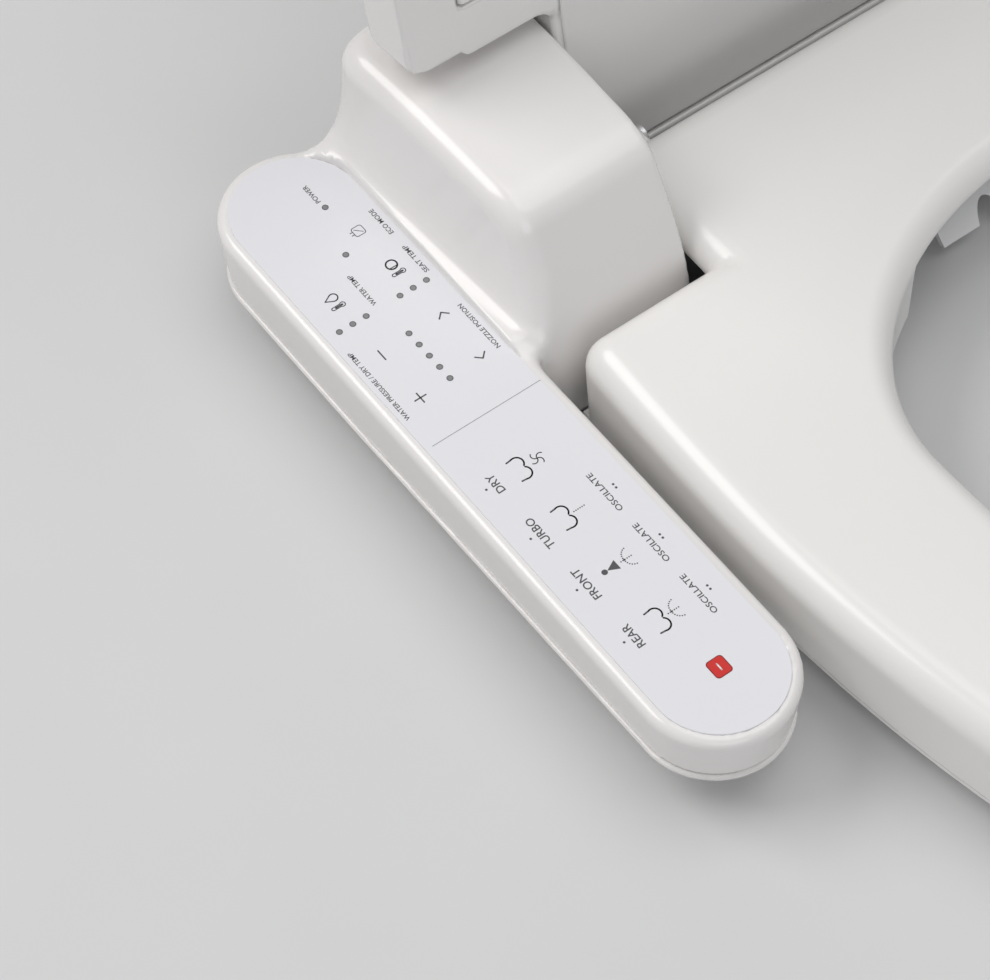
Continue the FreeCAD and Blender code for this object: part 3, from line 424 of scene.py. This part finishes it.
def arm_plan(x, y, z):
    """The arm's outline, drawn in below the top by its draft."""
    return bar(x, y, ARM_X, ARM_HALF, ARM_FRONT, ARM_REAR) + ARM_DRAFT * (ARM_TOP - z)


def arm_base(y):
    """The lip's lower edge, rising towards the front."""
    return LIP_LOW + ARM_RISE * np.clip((RISE_START - y) / RISE_LONG, 0, 1)


def cover(x, y, z):
    plan = arm_plan(x, y, z)
    base = arm_base(y) + LIP_TALL
    arm = corner(plan, z - ARM_TOP, ARM_EDGE)
    arm = corner(arm, base - z, 0.6)
    bridge = slab(x, ARM_X + ARM_HALF - BRIDGE_IN, -BLOCK_OUT + BRIDGE_IN)
    bridge = np.maximum(bridge, slab(y, BRIDGE_FRONT, BRIDGE_REAR))
    bridge = np.maximum(bridge, slab(z, BLOCK_LOW, ARM_TOP - 0.6))
    radius = from_hinge(y, z)
    middle = slab(x, -BLOCK_IN - PAST, BLOCK_IN + PAST)
    trough = np.maximum(middle, slab(y, 0, BLOCK_REAR))
    trough = corner(trough, z - TROUGH_TOP, 2)
    trough = np.maximum(np.maximum(trough, FLOOR_TOP - z), TROUGH_RADIUS - radius)
    sill = np.maximum(middle, slab(y, BLOCK_REAR - SILL_THICK, BLOCK_REAR))
    sill = np.maximum(sill, slab(z, BLOCK_LOW, SILL_TOP))
    body = joined(shoulder(x, y, z), bridge, 6)
    body = joined(body, arm, 9)
    body = joined(body, trough, 1.5)
    body = np.minimum(body, sill)
    film = bar(x, y, ARM_X, FILM_HALF + FILM_PLAY, FILM_LOW[1] - FILM_PLAY, FILM_HIGH[1] + FILM_PLAY)
    body = carved(body, np.maximum(film, FILM_LOW[2] - z), 0.5)
    under = np.maximum(plan + ARM_WALL, z - (FILM_LOW[2] - ARM_SKIN))
    under = np.maximum(under, base - ARM_SKIN - z)
    body = carved(body, under, 0.8)
    floor = np.maximum(np.maximum(np.abs(x) - UNDER_HALF, slab(y, UNDER_FRONT, UNDER_REAR)), z - UNDER_TOP)
    body = np.maximum(body, -floor)
    for key in KEYS:
        low, high = span(key)
        hole = np.hypot(x - (low[0] + high[0]) / 2, y - (low[1] + high[1]) / 2)
        hole = hole - (high[0] - low[0]) / 2 - KEY_PLAY
        body = np.maximum(body, -np.maximum(hole, slab(z, *KEY_WAY)))
    low, high = span("release_button")
    well = np.maximum(slab(y, low[1] - 1, high[1] + 1), slab(z, low[2] - 1, high[2] + 1))
    well = np.maximum(well, slab(x, low[0] - 6, BLOCK_OUT - 2.2))
    way = np.maximum(slab(y, low[1] + 1.7, high[1] - 1.7), slab(z, low[2] + 1.7, high[2] - 1.7))
    way = np.maximum(way, BLOCK_OUT - 8 - x)
    low, high = span("water_inlet")
    inlet = np.hypot(y - (low[1] + high[1]) / 2, z - (low[2] + high[2]) / 2) - (high[2] - low[2]) / 2 - 0.5
    inlet = np.maximum(inlet, low[0] - 1 - x)
    low, high = span("cord_gland")
    gland = np.hypot(x - (low[0] + high[0]) / 2, z - (low[2] + high[2]) / 2) - 7.2
    gland = np.maximum(gland, low[1] - 1 - y)
    return carved(body, np.minimum(np.minimum(well, way), np.minimum(inlet, gland)), 0.8)


def arm_lip(x, y, z):
    """The arm's bottom cover: a shallow tray with a thin proud lip."""
    plan, base = arm_plan(x, y, z), arm_base(y)
    body = corner(corner(plan - LIP_OUT, z - base - LIP_TALL, 0.7), base - z, 0.7)
    beside = np.abs(y - LIP_GAP_MIDDLE) < LIP_GAP_HALF
    return np.where(beside, np.maximum(body, x - ARM_X - ARM_HALF + LIP_GAP_IN), body)


# ---- seat
SEAT_LOW, SEAT_HIGH = span("seat_top_shell")
SEAT_HALF, SEAT_TOP = SEAT_HIGH[0], SEAT_HIGH[2]
SEAT_MID, SEAT_REACH_REAR = 150, 495
SEAT_REACH_FRONT = -SEAT_LOW[1] - SEAT_MID
OPEN_HALF, OPEN_MID, OPEN_FRONT, OPEN_REAR = 105.5, 175, 217, 77
CENTRE_HALF, EAR_REAR, SEAT_REAR = 116.5, 75, 21
SIDE_TUCK, TUCK_FROM, DISH_DEEP, DISH_WIDE = 0.06, 8, 2.5, 50
SHELL_LIFT, BAY_FRONT, BAY_NECK_HALF, BAY_NECK_FRONT, BAY_TOP = 1.6, 82, 60, 112, 38
LUG_RADIUS, WEB_BACK, WEB_TOP = 6.2, 3, 44
GROOVE_IN, GROOVE_OUT, GROOVE_RADIUS = 110.5, 119, 9.5
LUG_IN, LUG_OUT = PIN_LOW[0] + 2, PIN_LOW[0] + 12


def rod_pair(x, y, z, low, high, radius):
    """A cylinder on the hinge line on both sides of the middle."""
    return np.maximum(from_hinge(y, z) - radius, slab(np.abs(x), low, high))


def seat(x, y, z):
    wide = np.abs(x)
    ears = corner(oval(x, y, SEAT_HALF, SEAT_MID, SEAT_REACH_FRONT, SEAT_REACH_REAR), y + EAR_REAR, 10)
    middle = corner(wide - CENTRE_HALF, y + SEAT_REAR, 5)
    plan = joined(ears, np.maximum(middle, -SEAT_MID - y), 3)
    hole = oval(x, y, OPEN_HALF, OPEN_MID, OPEN_FRONT, OPEN_REAR)
    tuck = SIDE_TUCK * np.maximum(SEAT_TOP - TUCK_FROM - z, 0)
    dish = DISH_DEEP * np.clip(1 - hole / DISH_WIDE, 0, 1) ** 2
    top = z - SEAT_TOP + dish
    body = np.maximum(corner(plan + tuck, top, 11), corner(-hole, top, 9))
    body = corner(body, SEAT_LOW[2] + SHELL_LIFT - z, 2.5)
    bay = np.minimum(np.maximum(wide - CENTRE_HALF - PAST, -BAY_FRONT - y),
                     np.maximum(wide - BAY_NECK_HALF, -BAY_NECK_FRONT - y))
    body = carved(body, np.maximum(bay, z - BAY_TOP), 2)
    lugs = rod_pair(x, y, z, LUG_IN, LUG_OUT, LUG_RADIUS)
    web = np.maximum(slab(y, -SEAT_REAR - WEB_BACK, HINGE_Y), slab(z, HINGE_Z, WEB_TOP))
    lugs = np.minimum(lugs, np.maximum(web, slab(wide, LUG_IN, LUG_OUT)))
    body = joined(body, lugs, 1)
    body = np.maximum(body, -rod_pair(x, y, z, LUG_IN - 2, LUG_OUT + 2, PIN_WAY))
    return np.maximum(body, -rod_pair(x, y, z, GROOVE_IN, GROOVE_OUT, GROOVE_RADIUS))


# ---- lid, worked out closed and then turned up
LID_OPEN = 100
LID_LOW, LID_TOP = 51.2, 77
LID_EAR, LID_STEP, LID_STEP_HALF = 75.5, 72.8, 151
NECK_HALF, NECK_RADIUS, NECK_REAR = 117, 58, 4.8
RIM_WIDE = 22
EAR_EDGE, EDGE_GROWTH, EDGE_FROM, EDGE_LONG = 5.5, 3.5, 90, 60
CROWN_ACROSS, CROWN_ALONG = 1.2, 2
STEP_FRONT, NECK_FRONT, TONGUE_REAR = -130, 92, -50
POCKET_TOP, POCKET_REAR, POCKET_DEEP = 54.9, 1.5, 4
LID_LUG = (111, 116.8)
LID_LUG_RADIUS, LID_WEB_BACK, LID_WEB_TOP = 9, 2, 54


def lid_oval(x, y, inset):
    return oval(x, y, SEAT_HALF - inset, SEAT_MID, SEAT_REACH_FRONT - inset, SEAT_REACH_REAR - inset)


def lid(x, y, z):
    wide = np.abs(x)
    ears = corner(lid_oval(x, y, 0), y + LID_EAR, 6)
    step = np.maximum(corner(wide - LID_STEP_HALF, y + LID_STEP, 3), STEP_FRONT - y)
    plan = np.minimum(ears, step)
    crown = CROWN_ACROSS * (x / SEAT_HALF) ** 2 + CROWN_ALONG * ((y + SEAT_MID) / SEAT_REACH_FRONT) ** 2
    edge = EAR_EDGE + EDGE_GROWTH * np.clip((-y - EDGE_FROM) / EDGE_LONG, 0, 1)
    plate = corner(plan, z - LID_TOP + crown, edge)
    plate = corner(plate, LID_LOW - z, 1)
    radius = from_hinge(y, z)
    neck = corner(wide - NECK_HALF, radius - NECK_RADIUS, 2)
    neck = np.maximum(neck, slab(y, -NECK_FRONT, NECK_REAR))
    tongue = np.maximum(slab(y, STEP_FRONT, TONGUE_REAR), z - LID_TOP + 1)
    neck = np.maximum(np.minimum(neck, np.maximum(tongue, wide - NECK_HALF)), LID_LOW - 0.6 - z)
    body = joined(plate, neck, 6)
    between_walls = wide - NECK_HALF + SHELL_WALL
    pocket = np.minimum(np.maximum(lid_oval(x, y, RIM_WIDE), y + NECK_FRONT),
                        np.maximum(between_walls, slab(y, -SEAT_MID, POCKET_REAR)))
    body = carved(body, np.maximum(pocket, z - POCKET_TOP), 0.8)
    inner = np.maximum(np.maximum(radius - NECK_RADIUS + POCKET_DEEP, between_walls), slab(y, -60, POCKET_REAR))
    body = np.maximum(body, -inner)
    web = slab(y, HINGE_Y + LID_WEB_BACK, HINGE_Y + LID_LUG_RADIUS)
    web = np.maximum(web, slab(z, HINGE_Z, LID_WEB_TOP))
    arms = np.maximum(np.minimum(from_hinge(y, z) - LID_LUG_RADIUS, web), slab(wide, *LID_LUG))
    body = np.minimum(body, arms)
    return np.maximum(body, -rod_pair(x, y, z, LID_LUG[0] - 2, GROOVE_OUT, PIN_WAY))


LINER_PLAY, LINER_RISE, LINER_RAMP, LINER_SUNK, LINER_TOP = 0.6, 1.6, 14, 1.8, 54.5


def liner(x, y, z):
    wide = np.abs(x)
    plate = np.maximum(lid_oval(x, y, RIM_WIDE + LINER_PLAY), y + NECK_FRONT + LINER_PLAY)
    neck = np.maximum(wide - NECK_HALF + SHELL_WALL + LINER_PLAY, slab(y, -SEAT_MID, LINER_PLAY))
    plan = joined(plate, neck, 3)
    rise = LINER_RISE * np.clip(1 + plan / LINER_RAMP, 0, 1) ** 2
    body = corner(plan, LID_LOW + LINER_SUNK - rise - z, 1.0)
    body = corner(body, z - LINER_TOP, 0.5)
    return np.maximum(body, -rod_pair(x, y, z, LID_LUG[0] - 2, GROOVE_OUT, LID_LUG_RADIUS + LINER_PLAY))


COVER_TOP, LUGS_LOW, LID_HIGH, LINER_LOW, LINER_HIGH = 98, 28, 97, 50, 55
STEPS = {"cover": 1.6, "lip": 1.0, "seat": 2.1, "lid": 2.2, "liner": 1.6}


def make_mouldings():
    piece = moulded("rear_housing", cover, COVER_LOW, (*COVER_HIGH[:2], COVER_TOP), STEPS["cover"])
    dressed(piece, "housing_white", "housing", "upper_cover")
    low, high = span("arm_bottom_cover")
    piece = moulded("arm_lip", arm_lip, low - PAST, high + (PAST, PAST, ARM_RISE + PAST), STEPS["lip"])
    dressed(piece, "housing_white", "housing", "arm_bottom_cover")
    piece = moulded("seat_ring", seat, SEAT_LOW, SEAT_HIGH, STEPS["seat"])
    dressed(piece, "seat_white", "seat", "seat_top_shell")
    angle = math.radians(LID_OPEN)
    cosine, sine = math.cos(angle), math.sin(angle)
    turn = (np.array([[1, 0, 0], [0, cosine, sine], [0, -sine, cosine]]), np.array([0, HINGE_Y, HINGE_Z]))
    lid_front = -SEAT_MID - SEAT_REACH_FRONT
    low, high = (-SEAT_HALF, lid_front, LUGS_LOW), (SEAT_HALF, NECK_REAR, LID_HIGH)
    piece = moulded("lid_top", lid, low, high, STEPS["lid"], turn)
    dressed(piece, "lid_white", "lid", "lid_shell")
    low, high = (-SEAT_HALF, lid_front, LINER_LOW), (SEAT_HALF, NECK_REAR, LINER_HIGH)
    piece = moulded("lid_lining", liner, low, high, STEPS["liner"], turn)
    dressed(piece, "lid_white", "lid", "lid_liner")


# ---------------------------------------------------------------- printing on the panel
# Print places: u runs along the panel towards the rear (the reading way), v from the panel's middle
# line away from the seat (the letters' top), both from the middle of the five-lamp row.
PRINT_UP = 0.03
OVERLAY = 0.06
LAMP_ROW = -48


class Print:
    """Flat print gathered into one mesh."""

    def __init__(self, name, body, material):
        self.name, self.body, self.material = name, body, material
        self.points, self.faces = [], []

    def face(self, corners):
        start = len(self.points)
        self.points += corners
        self.faces.append(tuple(range(start, start + len(corners))))

    def disc(self, u, v, radius, inner=0, sides=28):
        turns = [2 * math.pi * n / sides for n in range(sides)]
        outer = [(u + radius * math.cos(t), v + radius * math.sin(t)) for t in turns]
        if not inner:
            self.face(outer)
            return
        hole = [(u + inner * math.cos(t), v + inner * math.sin(t)) for t in turns]
        for n in range(sides):
            m = (n + 1) % sides
            self.face([outer[n], outer[m], hole[m], hole[n]])

    def stroke(self, path, width, closed=False):
        """A line of even width with round ends."""
        path = list(path) + ([path[0]] if closed else [])
        for (u0, v0), (u1, v1) in zip(path, path[1:]):
            length = math.hypot(u1 - u0, v1 - v0) or 1
            du, dv = (u1 - u0) / length * width / 2, (v1 - v0) / length * width / 2
            self.face([(u0 - dv, v0 + du), (u0 + dv, v0 - du), (u1 + dv, v1 - du), (u1 - dv, v1 + du)])
        for u, v in path:
            self.disc(u, v, width / 2, sides=10)

    def dots(self, path, radius, gap):
        """Dots spaced along a path."""
        left = 0
        for (u0, v0), (u1, v1) in zip(path, path[1:]):
            length = math.hypot(u1 - u0, v1 - v0)
            while left < length:
                share = left / length
                self.disc(u0 + (u1 - u0) * share, v0 + (v1 - v0) * share, radius, sides=12)
                left += gap
            left -= length

    def block(self, u, v, half_u, half_v, radius):
        self.face([(u + su * (half_u - radius) + radius * math.cos(t),
                    v + sv * (half_v - radius) + radius * math.sin(t))
                   for su, sv, start in ((1, 1, 0), (-1, 1, 1), (-1, -1, 2), (1, -1, 3))
                   for t in (math.pi / 2 * (start + n / 6) for n in range(7))])

    def word(self, text, u, v, size, length=None):
        """A centred word in the plain built-in font, fitted to a length along the reading way."""
        curve = bpy.data.curves.new("word", "FONT")
        curve.body = text
        curve.size = size
        curve.align_x = "CENTER"
        curve.align_y = "CENTER"
        curve.resolution_u = 3
        curve.offset = size * 0.012
        holder = bpy.data.objects.new("word", curve)
        SCENE.collection.objects.link(holder)
        bpy.context.view_layer.update()
        flat = bpy.data.meshes.new_from_object(holder.evaluated_get(bpy.context.evaluated_depsgraph_get()))
        wide = max(p.co.x for p in flat.vertices) - min(p.co.x for p in flat.vertices)
        scale = length / wide if length else 1
        start = len(self.points)
        self.points += [(u + p.co.x * scale, v + p.co.y) for p in flat.vertices]
        self.faces += [tuple(start + i for i in face.vertices) for face in flat.polygons]
        bpy.data.objects.remove(holder)

    def make(self, level=1):
        up = ARM_TOP + OVERLAY + PRINT_UP * level
        data = bpy.data.meshes.new(self.name)
        corners = [((ARM_X - v) * MM, (LAMP_ROW + u) * MM, up * MM) for u, v in self.points]
        data.from_pydata(corners, [], self.faces)
        data.materials.append(self.material)
        piece = bpy.data.objects.new(self.name, data)
        SCENE.collection.objects.link(piece)
        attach(piece, self.body)


def arc(u, v, radius, start, end, steps=14):
    return [(u + radius * math.cos(math.radians(start + (end - start) * n / steps)),
             v + radius * math.sin(math.radians(start + (end - start) * n / steps))) for n in range(steps + 1)]


def key_centre(key):
    low, high = span(key)
    return (low[1] + high[1]) / 2 - LAMP_ROW, ARM_X - (low[0] + high[0]) / 2


LINE = 0.56


def sitter(ink, u, v):
    """The outline of a seated user from behind."""
    left = [(u - 4.1, v + 2.4)] + arc(u - 2.1, v - 0.1, 2.3, 160, 322)
    right = [(2 * u - a, b) for a, b in left]
    ink.stroke(left, LINE)
    ink.stroke(right, LINE)


def stem(ink, u, v):
    ink.dots([(u, v), (u, v - 4)], 0.25, 0.78)


def spray(ink, u, v):
    stem(ink, u, v)
    for side in (-1, 1):
        ink.dots([(u + side * a, b) for a, b in arc(0.4, v - 4.2, 3.0, 100, 10, 8)], 0.25, 0.78)


def thermometer(ink, u, v):
    ink.stroke(arc(u, v + 1.9, 0.55, 0, 180, 8) + arc(u, v - 1.6, 0.9, 130, 410, 16), 0.32, True)
    ink.stroke([(u, v - 1.5), (u, v + 1.0)], 0.7)


def temperature_key(ink, u, v, seat_shape):
    thermometer(ink, u - 2.2, v)
    if seat_shape:
        ink.stroke(arc(u + 1.8, v, 1.9, 0, 360, 20), 0.55)
        ink.stroke([(u + 0.7, v + 1.2), (u + 0.7, v - 1.2)], 0.4)
    else:
        ink.stroke([(u + 1.7, v + 2.4)] + arc(u + 1.7, v - 0.7, 1.5, 150, 390, 16), 0.42, True)


def flat_sheet(name, outlines, material, body):
    """A thin sheet with holes, level with the top of the film; outlines are rows of panel points."""
    curve = bpy.data.curves.new(name, "CURVE")
    curve.dimensions = "2D"
    curve.fill_mode = "BOTH"
    curve.extrude = OVERLAY / 2 * MM
    for outline in outlines:
        spline = curve.splines.new("POLY")
        spline.points.add(len(outline) - 1)
        for point, (u, v) in zip(spline.points, outline):
            point.co = ((ARM_X - v) * MM, (LAMP_ROW + u) * MM, 0, 1)
        spline.use_cyclic_u = True
    holder = bpy.data.objects.new(name + "_curve", curve)
    SCENE.collection.objects.link(holder)
    bpy.context.view_layer.update()
    data = bpy.data.meshes.new_from_object(holder.evaluated_get(bpy.context.evaluated_depsgraph_get()))
    bpy.data.objects.remove(holder)
    data.name = name
    data.transform(Matrix.Translation((0, 0, (ARM_TOP + OVERLAY / 2) * MM)))
    data.materials.clear()
    data.materials.append(material)
    piece = bpy.data.objects.new(name, data)
    SCENE.collection.objects.link(piece)
    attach(piece, body)


def key_outline(key):
    low, high = span(key)
    u, v = key_centre(key)
    return arc(u, v, (high[0] - low[0]) / 2, 0, 360 - 360 / 64, 63)


def make_overlay():
    """The printed overlay: one sheet round twelve flush key faces."""
    half = FILM_HALF - 0.1
    rear, front = FILM_HIGH[1] - LAMP_ROW - FILM_HALF, FILM_LOW[1] - LAMP_ROW + FILM_HALF
    outline = arc(rear, 0, half, -90, 90, 48) + arc(front, 0, half, 90, 270, 48)
    flat_sheet("panel_overlay", [outline] + [key_outline(key) for key in KEYS], SLOTS["panel_film"], "housing")
    for key in KEYS:
        flat_sheet(key + "_face", [key_outline(key)], SLOTS["key_film"], key + "_body")


def key_icons():
    for key in KEYS:
        u, v = key_centre(key)
        ink = Print(key + "_print", key + "_body", PRINT_GREY)
        if key in ("rear_wash_key", "turbo_key", "dry_key"):
            sitter(ink, u, v + 3)
        if key in ("rear_wash_key", "front_wash_key"):
            spray(ink, u, v - 0.6)
        if key == "turbo_key":
            stem(ink, u, v - 0.4)
        if key == "front_wash_key":
            ink.disc(u, v + 5.6, 1.0)
            ink.face([(u, v + 4.6), (u - 1.9, v + 0.8), (u + 1.9, v + 0.8)])
        if key == "dry_key":
            for turn in range(4):
                blade = [(a * math.cos(turn * math.pi / 2) - b * math.sin(turn * math.pi / 2),
                          a * math.sin(turn * math.pi / 2) + b * math.cos(turn * math.pi / 2))
                         for a, b in arc(1.35, 0, 1.35, 180, 40, 10)]
                ink.stroke([(u + a, v - 3.4 + b) for a, b in blade], 0.34)
        if key in ("plus_key", "minus_key"):
            ink.stroke([(u - 2.1, v), (u + 2.1, v)], 0.5)
        if key == "plus_key":
            ink.stroke([(u, v - 2.1), (u, v + 2.1)], 0.5)
        if key in ("forward_key", "backward_key"):
            way = 1 if key == "backward_key" else -1
            ink.stroke([(u - way * 0.9, v + 1.9), (u + way * 0.9, v), (u - way * 0.9, v - 1.9)], 0.5)
        if key in ("water_temp_key", "seat_temp_key"):
            temperature_key(ink, u, v, key == "seat_temp_key")
        if key == "eco_key":
            outline = []
            for side_u, side_v, start in ((-1, 1, 90), (-1, -1, 180), (1, -1, 270), (1, 1, 0)):
                outline += arc(u + side_u * 1.1, v + side_v * 1.1, 0.8, start, start + 90, 4)
            ink.stroke(outline, 0.26, True)
            ink.stroke([(u - 1.1, v - 1.1), (u + 1.1, v + 1.1)], 0.26)
            for side in (-0.6, 0.6):
                ink.stroke([(u + side, v + 2.1), (u + side, v + 2.9)], 0.3)
        if key == "stop_key":
            ink.material = STOP_EDGE
            ink.block(u, v, 3.4, 3.1, 1.3)
            inner = Print("stop_square", key + "_body", STOP_RED)
            inner.block(u, v, 3.1, 2.8, 1.1)
            inner.make(2)
            mark = Print("stop_bar", key + "_body", BAR_WHITE)
            mark.stroke([(u - 1.2, v), (u + 1.2, v)], 0.5)
            mark.make(3)
        ink.make()


LAMP_PITCH, LEVEL_PITCH, LAMP_RADIUS = 5.45, 5.2, 0.9
LEVEL_LAMPS = ((24.6, 12), (24.7, -11.7))
ECO_LAMP, POWER_LAMP = (48.5, -2.3), (68.3, -8.2)
WORD_LINE, DOT_LINE, EDGE_LINE, DOT_RADIUS = 12.4, 16.1, 19.5, 0.42


def panel_legend():
    """Words, lamp windows and the dividing line."""
    ink = Print("panel_words", "housing", PRINT_GREY)
    for key, text in (("rear_wash_key", "REAR"), ("front_wash_key", "FRONT"), ("turbo_key", "TURBO"),
                      ("dry_key", "DRY")):
        u, _ = key_centre(key)
        ink.word(text, u, WORD_LINE, 3.9)
        ink.disc(u, DOT_LINE, DOT_RADIUS)
        if key != "dry_key":
            ink.word("OSCILLATE", u, -WORD_LINE, 2.9, 16.5)
            for side in (-1, 1):
                ink.disc(u + side * 0.75, -DOT_LINE, DOT_RADIUS)
    ink.word("WATER PRESSURE / DRY TEMP", 0, EDGE_LINE, 2.3, 32)
    ink.word("NOZZLE POSITION", 0, -EDGE_LINE, 2.3, 21)
    ink.word("WATER TEMP", 33.8, 1.8, 2.4, 14.5)
    ink.word("SEAT TEMP", 33.7, -19.3, 2.4, 13)
    ink.word("ECO MODE", 52.6, -19.3, 2.4, 12)
    ink.word("POWER", 75.3, -7.8, 2.4, 8.5)
    ink.make()
    windows = Print("lamp_windows", "housing", LAMP_GREY)
    rings = Print("lamp_rings", "housing", PRINT_GREY)
    places = [(LAMP_PITCH * n, 0) for n in (-2, -1, 0, 1, 2)]
    for u, v in LEVEL_LAMPS:
        places += [(u, v + LEVEL_PITCH * n) for n in (-1, 0, 1)]
    places += [ECO_LAMP, POWER_LAMP]
    for u, v in places:
        windows.disc(u, v, LAMP_RADIUS)
        rings.disc(u, v, 1.12, 0.86)
    windows.make()
    rings.make(2)
    line = Print("panel_divider", "housing", LINE_GREY)
    line.stroke([(-28.5, 19.6), (-28.5, -22.0)], 0.24)
    line.make()


make_camera()
make_lights()
make_floor()
finish_nodes()
make_mouldings()
make_overlay()
key_icons()
panel_legend()
